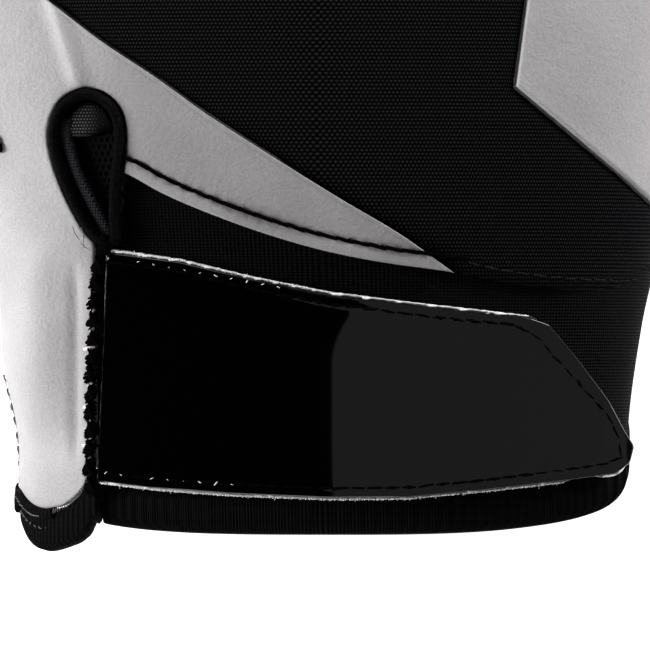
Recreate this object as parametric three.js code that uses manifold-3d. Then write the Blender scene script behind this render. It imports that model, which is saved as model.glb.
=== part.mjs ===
// A football receiver glove for the right hand, lying palm down with its fingers along +Y.
// X runs across the hand, thumb on the -X side, and Z is up. All lengths are in millimetres.
import * as THREE from "three";
import { mergeVertices } from "three/addons/utils/BufferGeometryUtils.js";
import Module from "manifold-3d";

const wasm = await Module();
wasm.setup();

// Driving sizes
const HAND_LENGTH = 112; // wrist edge to finger roots
const PALM_WIDTH = 97;
const WRIST_WIDTH = 80;
const HAND_HEIGHT = 36;
const FINGER_LENGTH = 103; // the middle finger, from the start of its axis inside the hand
const FINGER_WIDTH = 24.4;
const FINGER_DEPTH = 22.6;
const THUMB_LENGTH = 86;
const THUMB_WIDTH = 27;
const THUMB_DEPTH = 25;
const LEATHER = 1.2;
const KNIT = 1.4;
const GAP = 0.3;
const SEAM_HEIGHT = 6; // height of the seam between palm and back
const SIDEWALL_HEIGHT = 6.5; // mesh side walls of the fingers, above that seam
const HEM_RISE = 18; // how much shorter the wrist is on the palm side
const SIDE_HEM_DROP = 8.7; // how far the side panel's hem hangs below that slope
const HEM_BAND = 5.5;
const HEM_THICKNESS = 2.2;
const UNDERLAP = 3; // cuff under the edges of the back and the palm
const STRAP_LENGTH = 69.5;
const STRAP_WIDTH = 30;
const STRAP_LAYER = 1;
const STRAP_BORDER = 0.35; // backing that shows round the skin
const SLIT_LENGTH = 57;
const SLIT_LOOP_WIDTH = 9.6;
const BINDING_WIDTH = 1.7;
const BINDING_THICKNESS = 2.6;

// Fineness of the mesh
const HAND_SIDES = { top: 20, base: 10 };
const FINGER_SIDES = { top: 9, base: 6 };
const CAP_STEPS = 3;

// Shape of a cross-section: level of its widest line, and how square its halves are
const WIDEST = 0.42;
const TOP_POWER = 2.3;
const BASE_POWER = 2.6;
const BASE_FLATTENING = 1.12;

// Hand sections: at is a share of HAND_LENGTH from the wrist, left and right are shares of the
// widening from WRIST_WIDTH to PALM_WIDTH on each side, and top is a share of HAND_HEIGHT.
const HAND_FORM = [
  { at: -0.08, left: -0.06, right: -0.05, top: 0.9 },
  { at: 0, left: -0.02, right: -0.02, top: 0.92 },
  { at: 0.125, left: 0.05, right: -0.01, top: 0.95 },
  { at: 0.24, left: 0.26, right: 0.19, top: 0.97 },
  { at: 0.3, left: 0.43, right: 0.36, top: 0.985 },
  { at: 0.4, left: 0.85, right: 0.66, top: 1 },
  { at: 0.54, left: 1.16, right: 0.89, top: 0.98 },
  { at: 0.7, left: 1.12, right: 1.01, top: 0.9 },
  { at: 0.85, left: 1, right: 1.03, top: 0.78 },
  { at: 0.95, left: 0.92, right: 0.99, top: 0.68 },
];
const HAND_CAP = 0.1; // rounded end between the fingers, share of HAND_LENGTH
const HAND_END = 1.05;

// Finger sections along one finger: width and height are shares of that finger's own.
const FINGER_FORM = [
  { at: 0, width: 1, height: 1 },
  { at: 0.35, width: 1, height: 0.97 },
  { at: 0.55, width: 0.98, height: 0.91 },
  { at: 0.75, width: 0.94, height: 0.85 },
  { at: 0.88, width: 0.88, height: 0.79 },
];
const FINGER_CAP = 0.5; // length of a round tip, share of the finger's width
const SIDEWALL_END = 0.84; // where a side wall stops, share of the finger's length

// Fingers: x and y are the start of each axis as shares of PALM_WIDTH and HAND_LENGTH, turn is in
// degrees towards +X, and long, wide and deep are shares of the middle finger's sizes.
const FINGER_TABLE = [
  { name: "index", x: -0.355, y: 0.8, turn: -5, long: 0.913, wide: 0.984, deep: 0.973 },
  { name: "middle", x: -0.116, y: 0.82, turn: -1, long: 1, wide: 1, deep: 1 },
  { name: "ring", x: 0.13, y: 0.82, turn: 3, long: 0.913, wide: 0.967, deep: 0.973 },
  { name: "little", x: 0.362, y: 0.76, turn: 9, long: 0.796, wide: 0.885, deep: 0.885 },
];
const FINGERS = FINGER_TABLE.map(({ long, wide, deep, ...place }) => ({
  ...place,
  length: long * FINGER_LENGTH,
  width: wide * FINGER_WIDTH,
  height: deep * FINGER_DEPTH,
}));
const THUMB = {
  x: -0.33,
  y: 0.39,
  turn: -36,
  length: THUMB_LENGTH,
  width: THUMB_WIDTH,
  height: THUMB_DEPTH,
};

// Lines on the back of the hand, as shares of PALM_WIDTH and HAND_LENGTH.
// Roots of the fingers, from the thumb side over
const ROOT_LINE = [
  { x: -0.61, y: 0.93 },
  { x: -0.5, y: 0.955 },
  { x: -0.24, y: 1.0 },
  { x: 0.01, y: 1.015 },
  { x: 0.255, y: 0.975 },
  { x: 0.5, y: 0.87 },
  { x: 0.75, y: 0.77 },
];
// Where the thumb is sewn in, from its crotch to the wrist
const THUMB_LINE = [
  { x: -0.545, y: 0.86 },
  { x: -0.54, y: 0.72 },
  { x: -0.54, y: 0.58 },
  { x: -0.525, y: 0.44 },
  { x: -0.505, y: 0.34 },
  { x: -0.495, y: 0.24 },
];
// Folded lower edge of the side panel's wedge, from the slit to its point
const WEDGE_FOLD = [
  { x: -0.265, y: 0.42 },
  { x: -0.222, y: 0.399 },
  { x: -0.168, y: 0.379 },
  { x: -0.088, y: 0.353 },
  { x: -0.007, y: 0.332 },
  { x: 0.074, y: 0.318 },
  { x: 0.141, y: 0.31 },
  { x: 0.177, y: 0.305 },
];
// Seam of that wedge with the black back, from its point to the thumb side
const WEDGE_SEAM = [
  { x: 0.101, y: 0.353 },
  { x: 0.007, y: 0.401 },
  { x: -0.141, y: 0.482 },
  { x: -0.224, y: 0.533 },
  { x: -0.302, y: 0.579 },
  { x: -0.369, y: 0.623 },
  { x: -0.495, y: 0.705 },
  { x: -0.61, y: 0.775 },
];
// Hem of the black back over the cuff, from the wedge's point to the little-finger side
const BACK_HEM = [
  { x: 0.235, y: 0.295 },
  { x: 0.302, y: 0.287 },
  { x: 0.369, y: 0.285 },
  { x: 0.436, y: 0.293 },
  { x: 0.6, y: 0.33 },
];
// Outer panel: the end of its seam at the finger roots, its corner, and its low end at the side
const OUTER_SEAM = [
  { x: 0.345, y: 1.06 },
  { x: 0.3, y: 0.8 },
  { x: 0.256, y: 0.523 },
  { x: 0.436, y: 0.395 },
  { x: 0.6, y: 0.28 },
];

// Strap outline: along is a share of STRAP_LENGTH from its sewn end, across of STRAP_WIDTH
const STRAP_FORM = [
  { along: 0, across: 0 },
  { along: 0.1, across: -0.028 },
  { along: 0.25, across: -0.053 },
  { along: 0.435, across: -0.07 },
  { along: 0.57, across: -0.067 },
  { along: 0.716, across: -0.037 },
  { along: 0.866, across: 0 },
  { along: 0.965, across: 0.028 },
  { along: 0.992, across: 0.075 },
  { along: 1, across: 0.147 },
  { along: 0.98, across: 0.22 },
  { along: 0.95, across: 0.35 },
  { along: 0.894, across: 0.523 },
  { along: 0.838, across: 0.68 },
  { along: 0.805, across: 0.707 },
  { along: 0.66, across: 0.743 },
  { along: 0.435, across: 0.807 },
  { along: 0.276, across: 0.88 },
  { along: 0.153, across: 0.95 },
  { along: 0.02, across: 0.993 },
];
const STRAP_START = { x: -0.3675, y: 0.0652 }; // shares of WRIST_WIDTH and HAND_LENGTH
const TOP_SIDE = 0.5; // how far down the side the strap and the slit reach, share of HAND_HEIGHT

// Drop-shaped end of the slit, outer edge of its binding: across is a share of SLIT_LOOP_WIDTH
// from the slit's line, up of SLIT_LENGTH from the wrist edge
const SLIT_LOOP = [
  { across: 0.1, up: 0.668 },
  { across: -0.1, up: 0.7 },
  { across: -0.29, up: 0.755 },
  { across: -0.48, up: 0.83 },
  { across: -0.59, up: 0.91 },
  { across: -0.53, up: 0.967 },
  { across: -0.36, up: 1.005 },
  { across: -0.08, up: 1.022 },
  { across: 0.18, up: 1.008 },
  { across: 0.37, up: 0.973 },
  { across: 0.44, up: 0.922 },
  { across: 0.42, up: 0.855 },
  { across: 0.38, up: 0.795 },
  { across: 0.37, up: 0.73 },
  { across: 0.37, up: 0.668 },
];
const SLIT_LINE = -0.378; // share of WRIST_WIDTH

// Side hem: around is a share of the side panel's arc from the slit to the palm's seam, and drop
// a share of SIDE_HEM_DROP
const SIDE_HEM_FORM = [
  { at: 0, drop: 0.1 },
  { at: 0.08, drop: 0.39 },
  { at: 0.18, drop: 0.7 },
  { at: 0.31, drop: 0.9 },
  { at: 0.47, drop: 1 },
  { at: 0.61, drop: 0.94 },
  { at: 0.7, drop: 0.75 },
  { at: 0.85, drop: 0.35 },
  { at: 1, drop: 0 },
];

const materials = {
  white_leather: new THREE.MeshStandardMaterial({ color: 0xd9d6d4, roughness: 0.55 }),
  stretch_fabric: new THREE.MeshStandardMaterial({ color: 0x14161a, roughness: 0.8 }),
  mesh_fabric: new THREE.MeshStandardMaterial({ color: 0x1b1d21, roughness: 0.85 }),
  elastic_knit: new THREE.MeshStandardMaterial({ color: 0x17181b, roughness: 0.9 }),
  binding_tape: new THREE.MeshStandardMaterial({ color: 0x0e0f11, roughness: 0.7 }),
  strap_gloss: new THREE.MeshStandardMaterial({ color: 0x08080a, roughness: 0.12 }),
  strap_backing: new THREE.MeshStandardMaterial({ color: 0xe8e4dc, roughness: 0.9 }),
};

// A smooth value between a table's rows, with each row's slope taken from its neighbours
function follow(table, key, at) {
  const last = table.length - 1;
  const after = table.findIndex((row) => row.at > at);
  const i = after < 0 ? last - 1 : Math.max(after - 1, 0);
  const slope = (n) => {
    const a = table[Math.max(n - 1, 0)];
    const b = table[Math.min(n + 1, last)];
    return (b[key] - a[key]) / (b.at - a.at);
  };
  const width = table[i + 1].at - table[i].at;
  const t = THREE.MathUtils.clamp((at - table[i].at) / width, 0, 1);
  const rise = table[i + 1][key] - table[i][key];
  const a = slope(i) * width - rise;
  const b = rise - slope(i + 1) * width;
  return table[i][key] + rise * t + t * (1 - t) * (a * (1 - t) + b * t);
}

// Power of a cosine or sine with its sign kept
const bowed = (value, power) => Math.sign(value) * Math.abs(value) ** (2 / power);

// A point of a cross-section at an angle from +X. The section spans left to right, stands on the
// floor and reaches top. offset grows it outwards or, below zero, shrinks it.
function sectionPoint({ left, right, top, lift = 0 }, angle, offset) {
  const level = WIDEST * top;
  const upper = Math.sin(angle) >= 0;
  const power = upper ? TOP_POWER : BASE_POWER;
  const x = (left + right) / 2 + ((right - left) / 2 + offset) * bowed(Math.cos(angle), power);
  const height = upper ? top - level + offset : BASE_FLATTENING * level + offset;
  const z = level + height * bowed(Math.sin(angle), power);
  return { x, z: Math.max(z, lift + Math.max(-offset, 0)) };
}

// Angles round a section, closer together over its top half
function sectionAngles({ top, base }) {
  const upper = Array.from({ length: top }, (_, i) => (Math.PI * i) / top);
  const lower = Array.from({ length: base }, (_, i) => Math.PI * (1 + i / base));
  return [...upper, ...lower];
}

// The hand's section at a distance y from the wrist edge
function handSection(y) {
  const at = y / HAND_LENGTH;
  const widening = (PALM_WIDTH - WRIST_WIDTH) / 2;
  return {
    left: -WRIST_WIDTH / 2 - widening * follow(HAND_FORM, "left", at),
    right: WRIST_WIDTH / 2 + widening * follow(HAND_FORM, "right", at),
    top: HAND_HEIGHT * follow(HAND_FORM, "top", at),
  };
}

// A section drawn in towards its middle and its widest level, for a rounded end
function narrowed({ left, right, top }, widthShare, heightShare) {
  const middle = (left + right) / 2;
  const level = WIDEST * top;
  return {
    left: middle + (left - middle) * widthShare,
    right: middle + (right - middle) * widthShare,
    top: level + (top - level) * heightShare,
    lift: level * (1 - heightShare),
  };
}

// A closed geometry as a manifold-3d solid, turned right side out if need be
function solidOf(geometry) {
  const bare = geometry.clone();
  bare.deleteAttribute("normal");
  bare.deleteAttribute("uv");
  const merged = mergeVertices(bare, 1e-4);
  const vertProperties = merged.attributes.position.array;
  const triVerts = new Uint32Array(merged.index.array);
  const build = () => new wasm.Manifold(new wasm.Mesh({ numProp: 3, vertProperties, triVerts }));
  const solid = build();
  if (solid.volume() >= 0) return solid;
  for (let i = 0; i < triVerts.length; i += 3) {
    [triVerts[i + 1], triVerts[i + 2]] = [triVerts[i + 2], triVerts[i + 1]];
  }
  return build();
}

// A closed solid through rings of points. Its ends are closed by fans, or joined to each other.
function loftSolid(rings, endless = false) {
  const sides = rings[0].length;
  const positions = rings.flat().flatMap((p) => [p.x, p.y, p.z]);
  const indices = [];
  const spans = endless ? rings.length : rings.length - 1;
  for (let r = 0; r < spans; r++) {
    const here = r * sides;
    const there = ((r + 1) % rings.length) * sides;
    for (let side = 0; side < sides; side++) {
      const next = (side + 1) % sides;
      indices.push(here + side, here + next, there + next);
      indices.push(here + side, there + next, there + side);
    }
  }
  const close = (start, ring, turned) => {
    const middle = ring.reduce((sum, p) => sum.add(p), new THREE.Vector3());
    middle.divideScalar(sides);
    const tip = positions.length / 3;
    positions.push(middle.x, middle.y, middle.z);
    for (let side = 0; side < sides; side++) {
      const next = (side + 1) % sides;
      if (turned) indices.push(tip, start + side, start + next);
      else indices.push(tip, start + next, start + side);
    }
  };
  if (!endless) {
    close(0, rings[0], false);
    close((rings.length - 1) * sides, rings[rings.length - 1], true);
  }
  const geometry = new THREE.BufferGeometry();
  geometry.setAttribute("position", new THREE.Float32BufferAttribute(positions, 3));
  geometry.setIndex(indices);
  return solidOf(geometry);
}

function meshOf(name, solid, material) {
  const { numProp, numVert, vertProperties, triVerts } = solid.getMesh();
  const positions = new Float32Array(numVert * 3);
  for (let i = 0; i < numVert; i++) {
    positions.set(vertProperties.subarray(i * numProp, i * numProp + 3), i * 3);
  }
  const geometry = new THREE.BufferGeometry();
  geometry.setAttribute("position", new THREE.BufferAttribute(positions, 3));
  geometry.setIndex(new THREE.BufferAttribute(triVerts, 1));
  geometry.computeVertexNormals();
  const mesh = new THREE.Mesh(geometry, material);
  mesh.name = name;
  return mesh;
}

// The hand without its fingers, grown by offset. A smaller form reaches further at the wrist, so
// that the layer between two of them is open there.
function handForm(offset) {
  const ringAt = (section, y) =>
    sectionAngles(HAND_SIDES).map((angle) => {
      const { x, z } = sectionPoint(section, angle, offset);
      return new THREE.Vector3(x, y, z);
    });
  const shares = [0, 0.07, 0.14, 0.2, 0.25, 0.3, 0.35, 0.4, 0.46, 0.54, 0.62, 0.7, 0.78];
  const first = HAND_FORM[0].at * HAND_LENGTH + offset;
  const rings = [first, ...shares.map((share) => share * HAND_LENGTH)].map((y) =>
    ringAt(handSection(y), y),
  );
  const capLength = HAND_CAP * HAND_LENGTH + offset;
  const capStart = HAND_END * HAND_LENGTH + offset - capLength;
  rings.push(ringAt(handSection(0.87 * HAND_LENGTH), 0.87 * HAND_LENGTH));
  for (let i = 0; i <= CAP_STEPS; i++) {
    const angle = (0.42 * Math.PI * i) / CAP_STEPS;
    const y = capStart + capLength * Math.sin(angle);
    const section = handSection(Math.min(y, 0.95 * HAND_LENGTH));
    rings.push(ringAt(narrowed(section, Math.cos(angle) ** 0.3, Math.cos(angle) ** 0.6), y));
  }
  return loftSolid(rings);
}

// A digit's own axes: the spot at a distance along it and a distance across
function digitFrame({ x, y, turn }) {
  const angle = THREE.MathUtils.degToRad(turn);
  const start = new THREE.Vector2(x * PALM_WIDTH, y * HAND_LENGTH);
  const along = new THREE.Vector2(Math.sin(angle), Math.cos(angle));
  const across = new THREE.Vector2(Math.cos(angle), -Math.sin(angle));
  return (u, side) => start.clone().addScaledVector(along, u).addScaledVector(across, side);
}

function digitForm(digit, offset) {
  const place = digitFrame(digit);
  const ringAt = (section, u) =>
    sectionAngles(FINGER_SIDES).map((angle) => {
      const { x, z } = sectionPoint(section, angle, offset);
      const spot = place(u, x);
      return new THREE.Vector3(spot.x, spot.y, z);
    });
  const sectionAt = (share) => {
    const half = (digit.width * follow(FINGER_FORM, "width", share)) / 2;
    return { left: -half, right: half, top: digit.height * follow(FINGER_FORM, "height", share) };
  };
  const capLength = FINGER_CAP * digit.width + offset;
  const capStart = digit.length + offset - capLength;
  const rings = [ringAt(narrowed(sectionAt(0), 0.5, 0.5), 0)];
  for (const share of [0.22, 0.5, 0.78]) {
    rings.push(ringAt(sectionAt(share), share * capStart));
  }
  for (let i = 0; i <= CAP_STEPS; i++) {
    const angle = (0.46 * Math.PI * i) / CAP_STEPS;
    const u = capStart + capLength * Math.sin(angle);
    const section = sectionAt(Math.min(u / digit.length, 0.88));
    rings.push(ringAt(narrowed(section, Math.cos(angle) ** 0.8, Math.cos(angle) ** 0.8), u));
  }
  return loftSolid(rings);
}

const joined = (solids) => solids.reduce((sum, solid) => sum.add(solid));
const gloveForms = (offset) => [
  handForm(offset),
  ...[THUMB, ...FINGERS].map((digit) => digitForm(digit, offset)),
];

// The layer of the hand's form between two offsets
const layer = (outer, inner) => handForm(outer).subtract(handForm(inner));

// An upright prism over an outline of points seen from above
function prism(outline, low = -HAND_HEIGHT, high = 2 * HAND_HEIGHT) {
  const shape = new THREE.Shape(outline);
  const geometry = new THREE.ExtrudeGeometry(shape, { depth: high - low, bevelEnabled: false });
  return solidOf(geometry.translate(0, 0, low));
}

// A closed outline moved outwards by a distance, or inwards below zero
function grown(outline, distance) {
  const turn = Math.sign(THREE.ShapeUtils.area(outline));
  const count = outline.length;
  const outward = (edge) => new THREE.Vector2(edge.y, -edge.x).multiplyScalar(turn);
  return outline.map((point, i) => {
    const before = outward(point.clone().sub(outline[(i + count - 1) % count]).normalize());
    const after = outward(outline[(i + 1) % count].clone().sub(point).normalize());
    const middle = before.add(after).normalize();
    const stretch = Math.min(1 / Math.max(middle.dot(after), 0.2), 2.5);
    return point.clone().addScaledVector(middle, distance * stretch);
  });
}

// A band round the hand's section between two angles, from a lower to an upper line of y values
// and between two offsets, its lower edge bevelled
function band(angles, lowAt, highAt, outer, inner, endless = false) {
  const bevel = (outer - inner) / 4;
  const rings = angles.map((angle) => {
    const low = lowAt(angle);
    const high = highAt(angle);
    const corners = [
      [low + bevel, outer],
      [high, outer],
      [high, inner],
      [low + bevel, inner],
      [low, inner + bevel],
      [low, outer - bevel],
    ];
    return corners.map(([y, offset]) => {
      const { x, z } = sectionPoint(handSection(y), angle, offset);
      return new THREE.Vector3(x, y, z);
    });
  });
  return loftSolid(rings, endless);
}

const point = (x, y) => new THREE.Vector2(x, y);
const onHand = (rows) => rows.map(({ x, y }) => point(x * PALM_WIDTH, y * HAND_LENGTH));
const FAR = 2 * HAND_LENGTH;

// Angles of the wrist's section at the slit and at the two palm seams
const wrist = handSection(0);
function angleOf(test, from, to) {
  let low = from;
  let high = to;
  for (let step = 0; step < 40; step++) {
    const middle = (low + high) / 2;
    if (test(sectionPoint(wrist, middle, 0))) low = middle;
    else high = middle;
  }
  return low;
}
const slitX = SLIT_LINE * WRIST_WIDTH;
const slitAngle = angleOf(({ x }) => x > slitX, Math.PI / 2, Math.PI);
const leftSeamAngle = angleOf(({ z }) => z > SEAM_HEIGHT, Math.PI, 1.4 * Math.PI);
const rightSeamAngle = Math.PI - leftSeamAngle;

// Lower edge of the wrist at an angle, and the same for the side panel, which hangs lower
const slopeAt = (angle) => HEM_RISE * (1 - sectionPoint(wrist, angle, 0).z / wrist.top);
function sideEdgeAt(angle) {
  const at = (angle - slitAngle) / (leftSeamAngle - slitAngle);
  return slopeAt(angle) - SIDE_HEM_DROP * follow(SIDE_HEM_FORM, "drop", at);
}
const arc = (from, to, steps) =>
  Array.from({ length: steps + 1 }, (_, i) => from + ((to - from) * i) / steps);
const above = (edge) => (angle) => edge(angle) + HEM_BAND;
const seamGapAngle = GAP / (WRIST_WIDTH / 2);

// Room for the hems, cut from the leather and the cuff
const inSide = (angle) => angle > slitAngle && angle < leftSeamAngle;
const sideEdge = (angle) => (inSide(angle) ? sideEdgeAt(angle) : slopeAt(angle));
function hemRoom(edge) {
  const low = () => -HAND_LENGTH / 2;
  const high = (angle) => edge(angle) + HEM_BAND + GAP;
  return band(arc(0, 2 * Math.PI, 48).slice(1), low, high, 4, -6, true);
}
const slopeRoom = hemRoom(slopeAt);
const sideRoom = hemRoom(sideEdge);

// Outlines seen from above
const slitLoop = SLIT_LOOP.map(({ across, up }) =>
  point(slitX + across * SLIT_LOOP_WIDTH, up * SLIT_LENGTH),
);
const loopBottom = slitLoop[0].y;
const loopMiddle = point(slitX, 0.85 * SLIT_LENGTH);
const wedgeFold = onHand(WEDGE_FOLD);
const wedgeSeam = onHand(WEDGE_SEAM);
const backHem = onHand(BACK_HEM);
const rootLine = onHand(ROOT_LINE);
const thumbLine = onHand(THUMB_LINE);
const outerSeam = onHand(OUTER_SEAM);
const wedgePoint = wedgeFold[wedgeFold.length - 1];
const seamEnd = wedgeSeam[wedgeSeam.length - 1];
const rootStart = rootLine[0];
const rootEnd = rootLine[rootLine.length - 1];

const sideRegion = [
  point(slitX + GAP, -FAR),
  point(slitX + GAP, loopBottom),
  loopMiddle,
  ...wedgeFold,
  ...wedgeSeam,
  point(-FAR, seamEnd.y),
  point(-FAR, -FAR),
];
const backRegion = [
  wedgePoint,
  ...backHem,
  point(FAR, backHem[backHem.length - 1].y),
  point(FAR, FAR),
  point(-FAR, FAR),
  point(-FAR, seamEnd.y),
  ...wedgeSeam.slice().reverse(),
];
const outerRegion = [...outerSeam, point(FAR, outerSeam[outerSeam.length - 1].y), point(FAR, FAR)];
outerRegion.push(point(outerSeam[0].x, FAR));
const rootRegion = [...rootLine, point(FAR, rootEnd.y), point(FAR, FAR), point(rootStart.x, FAR)];
const thumbRegion = [
  ...thumbLine,
  point(-FAR, thumbLine[thumbLine.length - 1].y),
  point(-FAR, FAR),
  point(rootStart.x - GAP, FAR),
  point(rootStart.x - GAP, rootStart.y),
];
const cuffRegion = [
  point(slitX + 3 * GAP, -FAR),
  point(slitX + 3 * GAP, loopBottom + GAP),
  ...[...wedgeFold, ...backHem].map((spot) => spot.clone().add(point(0, UNDERLAP))),
  point(FAR, backHem[backHem.length - 1].y + UNDERLAP),
  point(FAR, -FAR),
];

// Layers of material
const everywhere = [point(-FAR, -FAR), point(FAR, -FAR), point(FAR, FAR), point(-FAR, FAR)];
const aboveSeam = prism(everywhere, SEAM_HEIGHT + GAP / 2);
const belowSeam = prism(everywhere, -HAND_HEIGHT, SEAM_HEIGHT - GAP / 2);
const topSide = prism(everywhere, TOP_SIDE * HAND_HEIGHT);
const hollow = joined(gloveForms(-LEATHER));
const skinIn = (room) =>
  joined(gloveForms(0).map((form) => form.intersect(room))).subtract(hollow);
const upperSkin = skinIn(aboveSeam);

// Panels of the hand
const roomFor = (outline) => prism(grown(outline, GAP / 2));
const handSkin = upperSkin.subtract(roomFor(rootRegion)).subtract(roomFor(thumbRegion));
const sidePanel = handSkin
  .intersect(prism(grown(sideRegion, -GAP / 2)))
  .subtract(prism(grown(slitLoop, GAP)))
  .subtract(sideRoom);
const outerPanel = handSkin.intersect(prism(grown(outerRegion, -GAP / 2)));
const handBack = handSkin
  .intersect(prism(grown(backRegion, -GAP / 2)))
  .subtract(roomFor(outerRegion));
const thumbBack = upperSkin.intersect(prism(grown(thumbRegion, -GAP / 2)));
const palm = skinIn(belowSeam).subtract(slopeRoom.add(sideRoom));

// Finger backs and the side walls between them, cut along the fingers' axes and between them
const places = FINGERS.map(digitFrame);
const spoke = (place, side = 0) => [place(-30, side), place(2 * HAND_LENGTH, side)];
const between = ([a, b], [c, d]) => [a, b, d, c];
const halfway = ([a, b], [c, d]) => [a.clone().lerp(c, 0.5), b.clone().lerp(d, 0.5)];
const axes = places.map((place) => spoke(place));
const leftBound = spoke(places[0], -0.75 * FINGERS[0].width);
const lastFinger = FINGERS.length - 1;
const rightBound = spoke(places[lastFinger], 0.9 * FINGERS[lastFinger].width);
const lanes = [leftBound];
axes.slice(1).forEach((axis, i) => lanes.push(halfway(axes[i], axis)));
lanes.push(rightBound);
const fingerSkin = upperSkin.intersect(prism(grown(rootRegion, -GAP / 2)));
const wallTop = SEAM_HEIGHT + SIDEWALL_HEIGHT;
const wallEnds = FINGERS.map((finger, i) => {
  const ends = SIDEWALL_END * finger.length;
  const half = finger.width;
  const corners = [
    [-40, -half],
    [ends, -half],
    [ends, half],
    [-40, half],
  ];
  return corners.map(([u, side]) => places[i](u, side));
});
const wallRoom = (gap) =>
  joined(wallEnds.map((outline) => prism(grown(outline, gap), 0, wallTop + gap)));
const backs = FINGERS.map((_, i) =>
  fingerSkin
    .intersect(prism(grown(between(lanes[i], lanes[i + 1]), -GAP / 2)))
    .subtract(wallRoom(GAP / 2)),
);
const wallSkin = fingerSkin.intersect(wallRoom(-GAP / 2));
const wallLines = [leftBound, ...axes, rightBound];
const walls = wallLines
  .slice(1)
  .map((line, i) => wallSkin.intersect(prism(grown(between(wallLines[i], line), -GAP / 2))));

// Slit: binding round its end, and the fabric seen inside it
const innerLoop = grown(slitLoop, -BINDING_WIDTH).filter((_, i) => {
  return SLIT_LOOP[i].up > 0.72;
});
innerLoop.push(point((slitLoop[0].x + slitLoop[slitLoop.length - 1].x) / 2, 0.705 * SLIT_LENGTH));
const bindingTop = BINDING_THICKNESS / 2 - 0.4;
const slitBinding = layer(bindingTop, bindingTop - BINDING_THICKNESS)
  .intersect(topSide)
  .intersect(prism(slitLoop))
  .subtract(prism(innerLoop));
const gussetTop = bindingTop - BINDING_THICKNESS - GAP;
const gussetOutline = grown(slitLoop, GAP);
const slitGusset = layer(gussetTop, gussetTop - LEATHER)
  .intersect(topSide)
  .intersect(prism(gussetOutline));

// Cuff of elastic knit under the strap
const cuffTop = -LEATHER - GAP;
const cuffLow = prism(everywhere, SEAM_HEIGHT - UNDERLAP);
const thumbSideLow = prism([point(-FAR, -FAR), point(0, -FAR), point(0, FAR), point(-FAR, FAR)]);
const cuff = layer(cuffTop, cuffTop - KNIT)
  .intersect(cuffLow)
  .subtract(thumbSideLow.intersect(prism(everywhere, -HAND_HEIGHT, 2 * SEAM_HEIGHT)))
  .intersect(prism(cuffRegion))
  .subtract(prism(grown(gussetOutline, GAP)))
  .subtract(slopeRoom);

// Hems round the wrist opening
const cuffHem = band(
  arc(rightSeamAngle + seamGapAngle, slitAngle - 3 * seamGapAngle, 22),
  slopeAt,
  above(slopeAt),
  cuffTop,
  cuffTop - HEM_THICKNESS,
);
const tapeTop = (HEM_THICKNESS - LEATHER) / 2;
const sideHem = band(
  arc(slitAngle + 2 * seamGapAngle, leftSeamAngle - seamGapAngle, 14),
  sideEdgeAt,
  above(sideEdgeAt),
  tapeTop,
  tapeTop - HEM_THICKNESS,
);
const palmHem = band(
  arc(leftSeamAngle + seamGapAngle, 2 * Math.PI + rightSeamAngle - seamGapAngle, 16),
  slopeAt,
  above(slopeAt),
  tapeTop,
  tapeTop - HEM_THICKNESS,
);

// Strap: a white backing with a glossy skin over it
const strapStart = point(STRAP_START.x * WRIST_WIDTH, STRAP_START.y * HAND_LENGTH);
const strapOutline = STRAP_FORM.map(({ along, across }) =>
  strapStart.clone().add(point(along * STRAP_LENGTH, across * STRAP_WIDTH)),
);
const backingTop = cuffTop + GAP + STRAP_LAYER;
const skinBottom = backingTop + GAP;
const strapBacking = layer(backingTop, backingTop - STRAP_LAYER)
  .intersect(topSide)
  .intersect(prism(grown(strapOutline, STRAP_BORDER)));
const strapSkin = layer(skinBottom + STRAP_LAYER, skinBottom)
  .intersect(topSide)
  .intersect(prism(strapOutline));

const glove = new THREE.Group();
const add = (name, solid, material) => glove.add(meshOf(name, solid, materials[material]));
add("palm", palm, "white_leather");
add("side_panel", sidePanel, "white_leather");
add("outer_panel", outerPanel, "white_leather");
add("thumb_back", thumbBack, "white_leather");
add("hand_back", handBack, "stretch_fabric");
FINGERS.forEach(({ name }, i) => add(`${name}_back`, backs[i], "stretch_fabric"));
const wallNames = ["sidewall_index"];
for (let i = 1; i < FINGERS.length; i++) {
  wallNames.push(`fourchette_${FINGERS[i - 1].name}_${FINGERS[i].name}`);
}
wallNames.push("sidewall_little");
walls.forEach((wall, i) => add(wallNames[i], wall, "mesh_fabric"));
add("cuff", cuff, "elastic_knit");
add("cuff_hem", cuffHem, "elastic_knit");
add("side_hem", sideHem, "binding_tape");
add("palm_hem", palmHem, "binding_tape");
add("slit_binding", slitBinding, "binding_tape");
add("slit_gusset", slitGusset, "mesh_fabric");
add("strap_backing", strapBacking, "strap_backing");
add("strap_skin", strapSkin, "strap_gloss");

const bounds = new THREE.Box3().setFromObject(glove);
const middle = bounds.getCenter(new THREE.Vector3());
glove.position.set(-middle.x, -middle.y, -bounds.min.z);

export default glove;
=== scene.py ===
import functools
import math

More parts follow.
